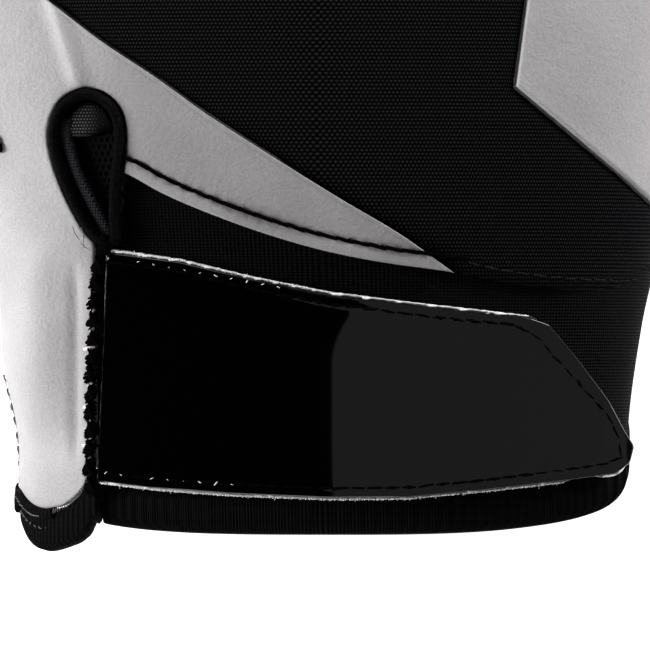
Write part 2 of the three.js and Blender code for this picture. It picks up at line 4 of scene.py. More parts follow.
import bpy
import numpy as np
from bpy.props import FloatProperty, FloatVectorProperty, PointerProperty
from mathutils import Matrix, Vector


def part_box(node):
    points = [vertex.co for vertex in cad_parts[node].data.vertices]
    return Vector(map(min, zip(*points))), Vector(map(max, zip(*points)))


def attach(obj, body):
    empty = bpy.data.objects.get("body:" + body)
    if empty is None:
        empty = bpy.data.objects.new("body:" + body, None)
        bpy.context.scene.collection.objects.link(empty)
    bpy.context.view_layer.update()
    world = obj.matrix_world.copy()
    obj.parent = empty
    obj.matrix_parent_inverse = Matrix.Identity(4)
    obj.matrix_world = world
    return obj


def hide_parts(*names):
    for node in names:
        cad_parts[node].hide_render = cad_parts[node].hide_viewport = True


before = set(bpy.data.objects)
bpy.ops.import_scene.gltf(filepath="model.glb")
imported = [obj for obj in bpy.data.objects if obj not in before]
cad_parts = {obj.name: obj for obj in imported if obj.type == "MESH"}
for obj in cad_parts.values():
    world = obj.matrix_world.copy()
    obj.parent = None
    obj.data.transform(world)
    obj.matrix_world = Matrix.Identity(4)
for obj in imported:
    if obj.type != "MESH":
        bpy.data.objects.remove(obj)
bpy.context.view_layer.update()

bl_info = {
    "name": "Receiver glove",
    "version": (1, 0, 0),
    "blender": (4, 5, 0),
    "location": "3D View > Sidebar > Glove",
    "description": "Dresses the solids of a right-hand receiver glove",
    "category": "Object",
}

# Sizes in millimetres, in the glove's own axes: Y from the wrist edge to the fingers, X across
# from the thumb side, Z up from the floor. The frame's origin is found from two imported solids.
# The strap lies free past STRAP_FREE. The finger walls end at WALL_END, a share of the finger.
WRIST = 80.0
PALM = 97.0
LENGTH = 112.0
HEIGHT = 36.0
WIDEST = 0.42
TOP_POWER = 2.3
BASE_POWER = 2.6
BASE_FLATTENING = 1.12
WRIST_TOP = 0.92 * HEIGHT
HAND_END = 106.4
HAND_CAP = 11.2
STRAP_LEFT = -29.4
STRAP_LOW = 7.3
STRAP_LENGTH = 69.5
STRAP_WIDTH = 30
STRAP_FREE = 24.0
SLIT_X = -30.24
SLIT_LENGTH = 57
SLIT_LOOP_WIDTH = 9.6
HEM_RISE = 18
SIDE_HEM_DROP = 8.7
HEM_BAND = 5.5
HEM_THICKNESS = 2.2
SEAM_Z = 6.0
WALL_TOP = 12.5
WALL_END = 0.84
STITCH_PITCH = 2.1
STITCH_INSET = 2.1
GAP = 0.15
ORIGIN = np.array((
    STRAP_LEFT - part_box("strap_skin")[0][0] * 1000,
    -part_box("cuff_hem")[0][1] * 1000,
    0.0,
))

# Tables of the form. The hand's are by shares of LENGTH, the fingers' by shares of the finger.
HAND_LEFT = ((-.08, -.06), (0, -.02), (.125, .05), (.24, .26), (.3, .43), (.4, .85),
             (.54, 1.16), (.7, 1.12), (.85, 1), (.95, .92))
HAND_RIGHT = ((-.08, -.05), (0, -.02), (.125, -.01), (.24, .19), (.3, .36), (.4, .66),
              (.54, .89), (.7, 1.01), (.85, 1.03), (.95, .99))
HAND_TOP = ((-.08, .9), (0, .92), (.125, .95), (.24, .97), (.3, .985), (.4, 1),
            (.54, .98), (.7, .9), (.85, .78), (.95, .68))
FINGER_WIDTH = ((0, 1), (.35, 1), (.55, .98), (.75, .94), (.88, .88))
FINGER_HEIGHT = ((0, 1), (.35, .97), (.55, .91), (.75, .85), (.88, .79))
# name, start x, start y, turn towards +X in degrees, length, width, height
DIGITS = {
    "index": (-34.44, 89.6, -5, 94.0, 24.0, 22.0),
    "middle": (-11.25, 91.84, -1, 103.0, 24.4, 22.6),
    "ring": (12.61, 91.84, 3, 94.0, 23.6, 22.0),
    "little": (35.11, 85.12, 9, 82.0, 21.6, 20.0),
    "thumb": (-32.01, 43.68, -36, 86.0, 27.0, 25.0),
}
FINGERS = ("index", "middle", "ring", "little")

# Lines of seams and edges seen from above
ROOT_LINE = ((-59.2, 104.2), (-48.5, 107), (-23.3, 112), (1, 113.7), (24.7, 109.2),
             (48.5, 97.4), (72.8, 86.2))
THUMB_LINE = ((-52.9, 96.3), (-52.4, 80.6), (-52.4, 65), (-50.9, 49.3), (-49, 38.1),
              (-48, 26.9))
WEDGE_FOLD = ((-30.24, 48.45), (-25.7, 47), (-21.5, 44.7), (-16.3, 42.4), (-8.5, 39.5),
              (-.7, 37.2), (7.2, 35.6), (13.7, 34.7), (17.2, 34.2))
WEDGE_SEAM = ((17.2, 34.2), (9.8, 39.5), (.7, 44.9), (-13.7, 54), (-21.7, 59.7),
              (-29.3, 64.8), (-35.8, 69.8), (-48, 79), (-59.2, 86.8))
BACK_HEM = ((17.2, 34.2), (22.8, 33), (29.3, 32.1), (35.8, 31.7), (42.3, 32.0), (58.2, 36))
OUTER_SEAM = ((33.5, 118.7), (29.1, 89.6), (24.8, 58.6))
OUTER_EDGE = ((24.8, 58.6), (42.3, 44.2), (58.2, 31.4))
PALM_CREASES = tuple(np.array(rows, float) for rows in (
    ((-46, 72), (-36, 60), (-28, 48), (-24, 34), (-22, 22)),
    ((-44, 78), (-24, 74), (0, 66), (22, 60)),
    ((40, 78), (20, 84), (-2, 88), (-20, 94)),
))
SLIT_LOOP = ((.1, .668), (-.1, .7), (-.29, .755), (-.48, .83), (-.59, .91), (-.53, .967),
             (-.36, 1.005), (-.08, 1.022), (.18, 1.008), (.37, .973), (.44, .922),
             (.42, .855), (.38, .795), (.37, .73), (.37, .668))
STRAP_FORM = ((0, 0), (.1, -.028), (.25, -.053), (.435, -.07), (.57, -.067), (.716, -.037),
              (.866, 0), (.965, .028), (.992, .075), (1, .147), (.98, .22), (.95, .35),
              (.894, .523), (.838, .68), (.805, .707), (.66, .743), (.435, .807),
              (.276, .88), (.153, .95), (.02, .993))
SIDE_HEM_FORM = ((0, .15), (.04, .42), (.13, .65), (.26, .88), (.37, .97), (.5, .98),
                 (.64, .98), (.75, .92), (.87, .55), (1, 0))


# Shape of the glove

def follow(table, at):
    """A smooth value between the rows of a table, each slope taken from the rows beside it."""
    x, y = np.array(table, float).T
    at = np.asarray(at, float)
    last = len(x) - 1
    i = np.clip(np.searchsorted(x, at, side="right") - 1, 0, last - 1)
    before = np.maximum(i - 1, 0)
    after = np.minimum(i + 2, last)
    width = x[i + 1] - x[i]
    t = np.clip((at - x[i]) / width, 0, 1)
    rise = y[i + 1] - y[i]
    a = (y[i + 1] - y[before]) / (x[i + 1] - x[before]) * width - rise
    b = rise - (y[after] - y[i]) / (x[after] - x[i]) * width
    return y[i] + rise * t + t * (1 - t) * (a * (1 - t) + b * t)


def bell(value, width):
    """One at zero, fading on both sides."""
    return np.exp(-(value / width) ** 2)


def falloff(value, low, high, blend):
    """One between two limits, fading to nothing past them."""
    up = np.clip((value - low) / blend + 1, 0, 1)
    down = np.clip((high - value) / blend + 1, 0, 1)
    t = np.minimum(up, down)
    return t * t * (3 - 2 * t)


def soft_least(a, b, blend):
    """The lesser of two values, rounded where they meet."""
    share = np.clip(0.5 + 0.5 * (b - a) / blend, 0, 1)
    return b * (1 - share) + a * share - blend * share * (1 - share)


def section_gap(dx, dz, past, half, upper, lower, cap, cap_power):
    """Distance from a bowed section, and past its end from the rounded cap on it."""
    above = dz >= 0
    power = np.where(above, TOP_POWER, BASE_POWER)
    flat = (np.abs(dx) / half) ** power + (np.abs(dz) / np.where(above, upper, lower)) ** power
    flat = np.maximum(flat, 1e-9) ** (1 / power)
    end = np.maximum(past, 0)
    whole = (flat ** cap_power + (end / cap) ** cap_power) ** (1 / cap_power)
    reach = np.sqrt(dx * dx + dz * dz + end * end)
    return reach - reach / whole


def hand_section(y):
    """Left and right limits of the hand's section, and its top."""
    at = np.clip(y, -9, HAND_END) / LENGTH
    widening = (PALM - WRIST) / 2
    left = -WRIST / 2 - widening * follow(HAND_LEFT, at)
    right = WRIST / 2 + widening * follow(HAND_RIGHT, at)
    return left, right, HEIGHT * follow(HAND_TOP, at)


def hand_gap(p):
    """Distance from the hand without its fingers."""
    left, right, top = hand_section(p[:, 1])
    level = WIDEST * top
    return section_gap(p[:, 0] - (left + right) / 2 + 1e-4, p[:, 2] - level, p[:, 1] - HAND_END,
                       (right - left) / 2, top - level, BASE_FLATTENING * level, HAND_CAP, 3)


def digit_axes(name):
    """Start of a finger's axis, and its directions along and across seen from above."""
    x, y, turn = DIGITS[name][:3]
    angle = math.radians(turn)
    along = np.array((math.sin(angle), math.cos(angle)))
    across = np.array((math.cos(angle), -math.sin(angle)))
    return np.array((x, y)), along, across


def digit_place(p, name):
    """How far points lie along a finger and across it."""
    start, along, across = digit_axes(name)
    return (p[:, :2] - start) @ along, (p[:, :2] - start) @ across


def digit_gap(p, name):
    """Distance from one finger, worked out only near it."""
    length, width, height = DIGITS[name][3:]
    u, v = digit_place(p, name)
    near = (u > -6) & (u < length + 6) & (np.abs(v) < width)
    gap = np.full(len(p), 25.0)
    u, v, z = u[near], v[near], p[near, 2]
    share = np.clip(u / length, 0, 0.88)
    t = np.clip(u / 20, 0, 1)
    root = 0.55 + 0.45 * t * t * (3 - 2 * t)
    half = width / 2 * follow(FINGER_WIDTH, share) * root
    top = height * follow(FINGER_HEIGHT, share)
    level = WIDEST * top
    cap = width / 2
    inner = section_gap(v + 1e-4, z - level, u - (length - cap), half, (top - level) * root,
                        BASE_FLATTENING * level * root, cap, 2.2)
    gap[near] = np.maximum(inner, -u)
    return gap


def glove_gap(p):
    """Distance of points from the glove's outer face, below zero inside it."""
    fingers = digit_gap(p, "index")
    for name in FINGERS[1:]:
        fingers = soft_least(fingers, digit_gap(p, name), 0.8)
    gap = soft_least(hand_gap(p), fingers, 5)
    gap = soft_least(gap, digit_gap(p, "thumb"), 8)
    return -soft_least(-gap, p[:, 2], 2.4)


def facing(p, step=0.15):
    """Outward directions of the outer face at points, and its slope there."""
    total = np.zeros_like(p)
    for corner in ((1, -1, -1), (-1, -1, 1), (-1, 1, -1), (1, 1, 1)):
        corner = np.array(corner, float)
        total += corner * glove_gap(p + step * corner)[:, None]
    total /= 4 * step
    size = np.linalg.norm(total, axis=1, keepdims=True)
    return total / np.maximum(size, 1e-9), size[:, 0]


def settled(p, rounds=2):
    """Points moved onto the outer face."""
    for _ in range(rounds):
        normal, slope = facing(p)
        move = np.clip(glove_gap(p) / np.maximum(slope, 0.3), -1.5, 1.5)
        p = p - normal * move[:, None]
    return p


# Meshes as points and triangles

def net(low, high, step):
    """A mesh of the glove's outer face inside a box, with even small triangles."""
    axes = [np.arange(a, b + step, step) for a, b in zip(low, high)]
    shape = [len(axis) for axis in axes]
    values = np.empty(shape)
    flat = np.stack([part.ravel() for part in np.meshgrid(axes[1], axes[2], indexing="ij")], 1)
    for i, x in enumerate(axes[0]):
        layer = np.column_stack((np.full(len(flat), x), flat))
        values[i] = glove_gap(layer).reshape(shape[1:])
    inside = values < 0
    count = np.zeros([n - 1 for n in shape], int)
    for i in (0, 1):
        for j in (0, 1):
            for k in (0, 1):
                count += inside[i:shape[0] - 1 + i, j:shape[1] - 1 + j, k:shape[2] - 1 + k]
    mixed = (count > 0) & (count < 8)
    number = np.full(mixed.shape, -1)
    number[mixed] = np.arange(mixed.sum())
    points = np.argwhere(mixed) * step + np.array(low) + step / 2
    quads = []
    for axis in range(3):
        a = inside.swapaxes(0, axis)
        cells = number.swapaxes(0, axis)
        change = a[:-1, 1:-1, 1:-1].astype(int) - a[1:, 1:-1, 1:-1]
        i, j, k = np.nonzero(change)
        ring = [cells[i, j, k], cells[i, j + 1, k], cells[i, j + 1, k + 1], cells[i, j, k + 1]]
        ring = np.stack(ring, 1)
        flip = change[i, j, k] < 0
        if axis > 0:
            flip = ~flip
        ring[flip] = ring[flip][:, ::-1]
        quads.append(ring)
    quads = np.concatenate(quads)
    points = settled(points, 2)
    for _ in range(3):
        total = np.zeros_like(points)
        hits = np.zeros(len(points))
        for a, b in ((0, 1), (1, 2), (2, 3), (3, 0)):
            for c, d in ((a, b), (b, a)):
                np.add.at(total, quads[:, c], points[quads[:, d]])
                np.add.at(hits, quads[:, c], 1)
        points = settled(0.4 * points + 0.6 * total / np.maximum(hits, 1)[:, None], 1)
    span = np.linalg.norm(points[quads[:, 0]] - points[quads[:, 2]], axis=1)
    other = np.linalg.norm(points[quads[:, 1]] - points[quads[:, 3]], axis=1)
    turned = other < span
    quads[turned] = np.roll(quads[turned], 1, axis=1)
    return points, np.concatenate((quads[:, (0, 1, 2)], quads[:, (0, 2, 3)]))


@functools.cache
def back_net():
    return net((-64, -13, 4.2), (58, 122, 38.5), 0.7)


@functools.cache
def whole_net():
    return net((-94, -9, -2.2), (62, 200, 39), 1.15)


def cut(points, faces, values):
    """Triangles parted along the line where the values pass zero."""
    values = np.where(np.abs(values) < 1e-6, 0, values)
    sign = np.sign(values[faces])
    crossing = (sign.min(1) < 0) & (sign.max(1) > 0)
    keep = faces[~crossing]
    work = faces[crossing]
    sign = sign[crossing]
    lone = np.where((sign == 0).any(1), np.argmax(sign == 0, 1),
                    np.argmax(sign == -np.sign(sign.sum(1))[:, None], 1))
    turn = (lone[:, None] + np.arange(3)) % 3
    work = np.take_along_axis(work, turn, 1)
    zero = np.take_along_axis(sign, turn, 1)[:, 0] == 0
    a, b, c = work.T
    pairs = np.concatenate((
        np.stack((b[zero], c[zero]), 1),
        np.stack((a[~zero], b[~zero]), 1),
        np.stack((a[~zero], c[~zero]), 1),
    ))
    pairs.sort(axis=1)
    edges, index = np.unique(pairs, axis=0, return_inverse=True)
    index = index.ravel() + len(points)
    va, vb = values[edges[:, 0]], values[edges[:, 1]]
    t = (va / (va - vb))[:, None]
    fresh = points[edges[:, 0]] * (1 - t) + points[edges[:, 1]] * t
    n0, n1 = zero.sum(), (~zero).sum()
    on_zero, on_b, on_c = index[:n0], index[n0:n0 + n1], index[n0 + n1:]
    a0, b0, c0 = a[zero], b[zero], c[zero]
    a1, b1, c1 = a[~zero], b[~zero], c[~zero]
    faces = np.concatenate((
        keep,
        np.stack((a0, b0, on_zero), 1),
        np.stack((a0, on_zero, c0), 1),
        np.stack((a1, on_b, on_c), 1),
        np.stack((on_b, b1, c1), 1),
        np.stack((on_b, c1, on_c), 1),
    ))
    return (np.concatenate((points, fresh)), faces,
            np.concatenate((values, np.zeros(len(fresh)))))


def edges_of(faces):
    return np.concatenate((faces[:, (0, 1)], faces[:, (1, 2)], faces[:, (2, 0)]))


def pruned(points, faces):
    """The points that are used, and the triangles numbered anew."""
    used, index = np.unique(faces, return_inverse=True)
    return points[used], index.reshape(faces.shape)


def unmoved(points, rounds):
    """Stands in for settled on a flat mesh."""
    return points


def trimmed(mesh, fields, snap=0.2, settle=settled):
    """The part of a mesh where every field is above zero, with clean edges along the lines."""
    points, faces = mesh
    for field in fields:
        values = field(points)
        keep = (values[faces] > -2.5).any(1)
        points, faces = pruned(points, faces[keep])
        values = field(points)
        close = np.abs(values) < snap
        if close.any():
            near = points[close]
            slope = np.zeros_like(near)
            for axis in range(3):
                step = np.zeros(3)
                step[axis] = 0.05
                slope[:, axis] = (field(near + step) - field(near - step)) / 0.1
            size = np.maximum((slope ** 2).sum(1), 0.25)
            points = points.copy()
            points[close] = settle(near - slope * (values[close] / size)[:, None], 1)
            values[close] = 0
        points, faces, values = cut(points, faces, values)
        keep = (values[faces].max(1) > 0) & (values[faces].min(1) > -1e-6)
        points, faces = pruned(points, faces[keep])
    return settle(points, 1), faces


def flat_net(low, high, step):
    """A flat grid of triangles seen from above."""
    x = np.arange(low[0], high[0], step)
    y = np.arange(low[1], high[1], step)
    grid = np.stack(np.meshgrid(x, y, indexing="ij"), -1).reshape(-1, 2)
    i, j = np.meshgrid(np.arange(len(x) - 1), np.arange(len(y) - 1), indexing="ij")
    a = (i * len(y) + j).ravel()
    b = a + len(y)
    faces = np.concatenate((np.stack((a, b, b + 1), 1), np.stack((a, b + 1, a + 1), 1)))
    return np.column_stack((grid, np.zeros(len(grid)))), faces


def ringed(mesh, field, levels):
    """A mesh with lines of points at set distances from its edge."""
    points, faces = mesh
    for level in levels:
        points, faces, _ = cut(points, faces, field(points) - level)
    return points, faces


def least(*fields):
    """The least of several fields."""
    return lambda p: np.minimum.reduce([field(p) for field in fields])


def smooth_line(rows, closed=False, per=6):
    """A line through the rows, bent smoothly between them."""
    rows = np.array(rows, float)
    if closed:
        rows = np.concatenate((rows[-1:], rows, rows[:2]))
    else:
        rows = np.concatenate((2 * rows[:1] - rows[1:2], rows, 2 * rows[-1:] - rows[-2:-1]))
    line = []
    for a, b, c, d in zip(rows, rows[1:], rows[2:], rows[3:]):
        for t in np.arange(per) / per:
            line.append(0.5 * (2 * b + (c - a) * t + (2 * a - 5 * b + 4 * c - d) * t ** 2
                               + (3 * b - a - 3 * c + d) * t ** 3))
    if not closed:
        line.append(rows[-2])
    return np.array(line)


def lengthened(line, reach=150):
    """A line with both ends carried on straight."""
    first = line[0] - line[1]
    last = line[-1] - line[-2]
    return np.concatenate((
        [line[0] + first / np.linalg.norm(first) * reach],
        line,
        [line[-1] + last / np.linalg.norm(last) * reach],
    ))


def line_gap(line, closed=False):
    """A field of distances from a line seen from above, above zero on its left."""
    ends = np.concatenate((line[1:], line[:1])) if closed else line[1:]
    starts = line if closed else line[:-1]
    run = ends - starts
    size = (run ** 2).sum(1)
    left = np.stack((-run[:, 1], run[:, 0]), 1) / np.sqrt(size)[:, None]
    before = left + np.roll(left, 1, 0)
    after = left + np.roll(left, -1, 0)
    if not closed:
        before[0] = left[0]
        after[-1] = left[-1]

    def field(p):
        result = np.empty(len(p))
        for first in range(0, len(p), 20000):
            spot = p[first:first + 20000, None, :2] - starts
            t = np.clip((spot * run).sum(2) / size, 0, 1)
            away = spot - t[..., None] * run
            far = (away ** 2).sum(2)
            best = far.argmin(1)
            row = np.arange(len(best))
            near = away[row, best]
            at = t[row, best][:, None]
            facing_side = np.where(at <= 0, before[best], np.where(at >= 1, after[best], left[best]))
            side = (facing_side * near).sum(1)
            result[first:first + 20000] = np.sqrt(far[row, best]) * np.where(side >= 0, 1, -1)
        return result

    return field


def outside(field):
    """A field with its sides changed over."""
    return lambda p: -field(p)


def moved(field, distance):
    """A field with its line moved outwards."""
    return lambda p: field(p) + distance


def left_of(field):
    """Above zero past a seam line on its left."""
    return moved(field, -GAP)


def right_of(field):
    """Above zero past a seam line on its right."""
    return outside(moved(field, GAP))


def polygon_gap(line):
    """A field of distances from a closed outline seen from above, above zero inside it."""
    distance = line_gap(line, True)

    def field(p):
        x, y = p[:, 0], p[:, 1]
        inside = np.zeros(len(p), bool)
        for (ax, ay), (bx, by) in zip(line, np.roll(line, -1, 0)):
            crosses = (ay > y) != (by > y)
            rise = by - ay if by != ay else 1e-9
            inside ^= crosses & (x < (bx - ax) * (y - ay) / rise + ax)
        return np.abs(distance(p)) * np.where(inside, 1, -1)

    return field


def around(p):
    """Angle of a point round the hand's section."""
    left, right, top = hand_section(p[:, 1])
    level = WIDEST * top
    dx = (p[:, 0] - (left + right) / 2) / ((right - left) / 2)
    dz = p[:, 2] - level
    up = dz >= 0
    power = np.where(up, TOP_POWER, BASE_POWER) / 2
    tall = np.where(up, top - level, BASE_FLATTENING * level)
    rise = np.sign(dz) * (np.abs(dz) / tall) ** power
    run = np.sign(dx) * np.abs(dx) ** power
    angle = np.arctan2(rise, run)
    return np.where(angle < -math.pi / 2, angle + 2 * math.pi, angle)


def on_section(y, angle, offset):
    """A point of the hand's section at an angle, moved outwards by an offset."""
    y, angle = np.broadcast_arrays(np.asarray(y, float), np.asarray(angle, float))
    left, right, top = hand_section(y)
    level = WIDEST * top
    sine, cosine = np.sin(angle), np.cos(angle)
    up = sine >= 0
    power = 2 / np.where(up, TOP_POWER, BASE_POWER)
    x = (left + right) / 2 + (right - left) / 2 * np.sign(cosine) * np.abs(cosine) ** power
    tall = np.where(up, top - level, BASE_FLATTENING * level)
    z = np.maximum(level + tall * np.sign(sine) * np.abs(sine) ** power, 0.02)
    p = np.stack((x, y, z), -1).reshape(-1, 3)
    normal = facing(p)[0]
    move = np.broadcast_to(offset, y.shape).reshape(-1, 1)
    return (p + normal * move).reshape(*y.shape, 3)


def wrist_angle(test, low, high):
    """The angle round the wrist where a test stops holding."""
    for _ in range(40):
        middle = (low + high) / 2
        if test(on_section(0.0, middle, 0.0)):
            low = middle
        else:
            high = middle
    return low


SLIT_ANGLE = wrist_angle(lambda p: p[0] > SLIT_X, math.pi / 2, math.pi)
LEFT_SEAM = wrist_angle(lambda p: p[2] > SEAM_Z, math.pi, 1.4 * math.pi)
RIGHT_SEAM = math.pi - LEFT_SEAM


def slope_edge(angle):
    """Lower edge of the wrist at an angle."""
    angle = np.where(angle < RIGHT_SEAM - 0.001, angle + 2 * math.pi, angle)
    share = np.clip((angle - LEFT_SEAM) / (2 * math.pi + RIGHT_SEAM - LEFT_SEAM), 0, 1)
    under = 1 + 0.4 * share * share * (3 - 2 * share)
    full = np.where(angle < SLIT_ANGLE - 0.021, 1.4, under)
    power = np.where(np.sin(angle) >= 0, TOP_POWER, BASE_POWER)
    top = WRIST_TOP
    level = WIDEST * top
    tall = np.where(np.sin(angle) >= 0, top - level, BASE_FLATTENING * level)
    z = level + tall * np.sign(np.sin(angle)) * np.abs(np.sin(angle)) ** (2 / power)
    return HEM_RISE * np.maximum(1 - np.maximum(z, 0) / top, 0) ** full


def side_edge(angle):
    """The same where the side panel hangs lower."""
    at = (angle - SLIT_ANGLE) / (LEFT_SEAM - SLIT_ANGLE)
    drop = SIDE_HEM_DROP * follow(SIDE_HEM_FORM, np.clip(at, 0, 1))
    return slope_edge(angle) - np.where((at > -0.5) & (at < 1), drop, 0)


def hem_top(angle):
    """Upper edge of the bound hem at an angle, higher beside the slit."""
    at = (angle - SLIT_ANGLE) / (LEFT_SEAM - SLIT_ANGLE)
    rise = (1.7 * np.clip(1 - at / 0.16, 0, 1) ** 1.5
            - 1.7 * bell(at - 0.66, 0.09))
    return side_edge(angle) + HEM_BAND + np.where((at > -0.5) & (at < 1), rise, 0)


# Lines of the seams and edges
FOLD = smooth_line(WEDGE_FOLD)
SEAM = smooth_line(WEDGE_SEAM)
HEM = smooth_line(BACK_HEM)
ROOT = smooth_line(ROOT_LINE)
THUMB = smooth_line(THUMB_LINE)
LOOP = smooth_line([(SLIT_X + a * SLIT_LOOP_WIDTH, u * SLIT_LENGTH) for a, u in SLIT_LOOP],
                   closed=True)
STRAP = np.array([(STRAP_LEFT + a * STRAP_LENGTH, STRAP_LOW + u * STRAP_WIDTH)
                  for a, u in STRAP_FORM])
SLIT_SIDE = np.concatenate(([(SLIT_X + .3, -60), (SLIT_X + .3, 38)], FOLD))
WEDGE_END = WEDGE_FOLD[-1][0]

fold_side = line_gap(lengthened(SLIT_SIDE))
seam_side = line_gap(lengthened(SEAM))
hem_side = line_gap(lengthened(HEM))
root_side = line_gap(lengthened(ROOT))
thumb_side = line_gap(lengthened(THUMB))
outer_seam = line_gap(lengthened(smooth_line(OUTER_SEAM)))
outer_edge = line_gap(lengthened(smooth_line(OUTER_EDGE)))
loop_inside = polygon_gap(LOOP)
strap_inside = polygon_gap(STRAP)


def off_seam(p):
    """Above zero on the back of the glove, past the seam with the palm."""
    return p[:, 2] - SEAM_Z - GAP


def off_hem(p):
    """Above zero past the wrist's bound hem."""
    angle = around(p)
    return p[:, 1] - hem_top(angle) - 0.2


def line_place(p, line):
    """Distance of points from a line seen from above, and how far along it they lie."""
    run = line[1:] - line[:-1]
    size = np.linalg.norm(run, axis=1)
    starts = np.concatenate(([0], np.cumsum(size)[:-1]))
    far = np.full(len(p), 1e9)
    place = np.zeros(len(p))
    for a, d, length, start in zip(line, run, size, starts):
        spot = p[:, :2] - a
        t = np.clip(spot @ d / length ** 2, 0, 1)
        away = np.linalg.norm(spot - t[:, None] * d, axis=1)
        near = away < far
        far[near] = away[near]
        place[near] = start + t[near] * length
    return far, place


def even_line(line, step):
    """A line's points set at even steps."""
    size = np.linalg.norm(np.diff(line, axis=0), axis=1)
    place = np.concatenate(([0], np.cumsum(size)))
    count = max(int(round(place[-1] / step)), 1)
    at = np.linspace(0, place[-1], count + 1)
    return np.stack([np.interp(at, place, line[:, axis]) for axis in range(line.shape[1])], 1)


def beside(line, distance):
    """A line moved to its left by a distance."""
    run = np.gradient(line, axis=0)
    side = np.stack((-run[:, 1], run[:, 0]), 1) / np.linalg.norm(run, axis=1)[:, None]
    return line + side * distance


def laid(line, offset=0.0):
    """A line seen from above, set on the outer face or off it, with the face's directions."""
    p = np.column_stack((line, np.full(len(line), 31.0)))
    for _ in range(9):
        normal, slope = facing(p)
        fall = glove_gap(p) / np.maximum(slope, 0.3) / np.maximum(normal[:, 2], 0.2)
        p[:, 2] -= np.clip(fall, -5, 5)
    normal = facing(p)[0]
    return p + normal * np.reshape(offset, (-1, 1)), normal


def laid_above(line, offset, height):
    """The part of a laid line that stays above a height."""
    points, normal = laid(line, offset)
    high = points[:, 2] > height
    return points[high], normal[high]


def rounded(distance, radius):
    """How far a rounded edge lies below the face at a distance from it."""
    inner = np.clip(radius - distance, 0, radius)
    return radius - np.sqrt(np.maximum(radius ** 2 - inner ** 2, 0))


def sheet_solid(mesh, outer, inner, normal=None):
    """A closed sheet between two offsets from a mesh on the outer face."""
    points, faces = mesh
    if normal is None:
        normal = facing(points)[0]
    count = len(points)
    top = points + normal * np.broadcast_to(outer, count)[:, None]
    base = points + normal * np.broadcast_to(inner, count)[:, None]
    edges = edges_of(faces)
    code = edges[:, 0] * count + edges[:, 1]
    back = edges[:, 1] * count + edges[:, 0]
    rim = edges[~np.isin(code, back)]
    a, b = rim.T
    return (np.concatenate((top, base)), np.concatenate((
        faces,
        faces[:, ::-1] + count,
        np.stack((b, a, a + count), 1),
        np.stack((b, a + count, b + count), 1),
    )))


# Blender objects

def to_frame(points):
    """Places in the frame's own axes, in metres."""
    return (points - ORIGIN) / 1000


def placed(name, data):
    """A new object in the scene."""
    made = bpy.data.objects.new(name, data)
    bpy.context.scene.collection.objects.link(made)
    return made


def lay_out(p, digit=None):
    """Places on the flat cloth, in millimetres: round the section, and along it."""
    if digit is None:
        left, right, _ = hand_section(p[:, 1])
        half = (right - left) / 2
        return np.stack(((math.pi / 2 - around(p)) * half * 0.92, p[:, 1]), 1)
    u, v = digit_place(p, digit)
    half = DIGITS[digit][4] / 2
    level = WIDEST * DIGITS[digit][5]
    return np.stack((np.arctan2(v, p[:, 2] - level) * half, u), 1)


def make(name, mesh, finish, slot, nodes=(), layout=None):
    """A finished piece of the glove from a closed mesh in millimetres."""
    points, faces = mesh
    data = bpy.data.meshes.new(name)
    data.from_pydata(to_frame(points), [], faces.tolist())
    data.polygons.foreach_set("use_smooth", np.ones(len(faces), bool))
    spread = lay_out(points) if layout is None else layout
    layer = data.uv_layers.new(name="Cloth")
    layer.data.foreach_set("uv", spread[faces.ravel()].ravel())
    data.update()
    piece = placed(name, data)
    data.materials.append(finish)
    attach(piece, "root")
    if nodes:
        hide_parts(*nodes)
    return piece


# Finishes

def wire(tree, kind, inputs=None, **settings):
    """One shader node with its settings, values and links."""
    made = tree.nodes.new(kind)
    for key, value in settings.items():
        setattr(made, key, value)
    for key, value in (inputs or {}).items():
        if isinstance(value, bpy.types.NodeSocket):
            tree.links.new(value, made.inputs[key])
        else:
            made.inputs[key].default_value = value
    return made


def arithmetic(tree, operation, a, b=0.0):
    """The result of one sum with numbers or sockets."""
    return wire(tree, "ShaderNodeMath", {0: a, 1: b}, operation=operation).outputs[0]


def effect(name, inputs, outputs, build):
    """A shader node group, built once."""
    if name in bpy.data.node_groups:
        return bpy.data.node_groups[name]
    tree = bpy.data.node_groups.new(name, "ShaderNodeTree")
    for label, kind, value in inputs:
        socket = tree.interface.new_socket(label, in_out="INPUT", socket_type=kind)
        if value is not None:
            socket.default_value = value
    for label, kind in outputs:
        tree.interface.new_socket(label, in_out="OUTPUT", socket_type=kind)
    start = tree.nodes.new("NodeGroupInput")
    end = tree.nodes.new("NodeGroupOutput")
    for label, socket in build(tree, start.outputs).items():
        tree.links.new(socket, end.inputs[label])
    return tree


def grain_effect():
    """Small cells of leather, with a fine and a broad unevenness."""
    def build(tree, given):
        cells = wire(tree, "ShaderNodeTexVoronoi",
                     {"Vector": given["Place"], "Scale": given["Scale"]}, feature="SMOOTH_F1")
        fine = wire(tree, "ShaderNodeTexNoise",
                    {"Vector": given["Place"],
                     "Scale": arithmetic(tree, "MULTIPLY", given["Scale"], 2.3),
                     "Detail": 4.0})
        broad = wire(tree, "ShaderNodeTexNoise",
                     {"Vector": given["Place"],
                      "Scale": arithmetic(tree, "MULTIPLY", given["Scale"], 0.06),
                      "Detail": 3.0})
        height = arithmetic(tree, "ADD", arithmetic(tree, "MULTIPLY", cells.outputs[0], 0.8),
                            arithmetic(tree, "MULTIPLY", fine.outputs[0], 0.7))
        return {"Height": height, "Fine": fine.outputs[0], "Broad": broad.outputs[0]}

    return effect("Leather grain",
                  (("Place", "NodeSocketVector", None), ("Scale", "NodeSocketFloat", 1.0)),
                  (("Height", "NodeSocketFloat"), ("Fine", "NodeSocketFloat"),
                   ("Broad", "NodeSocketFloat")), build)


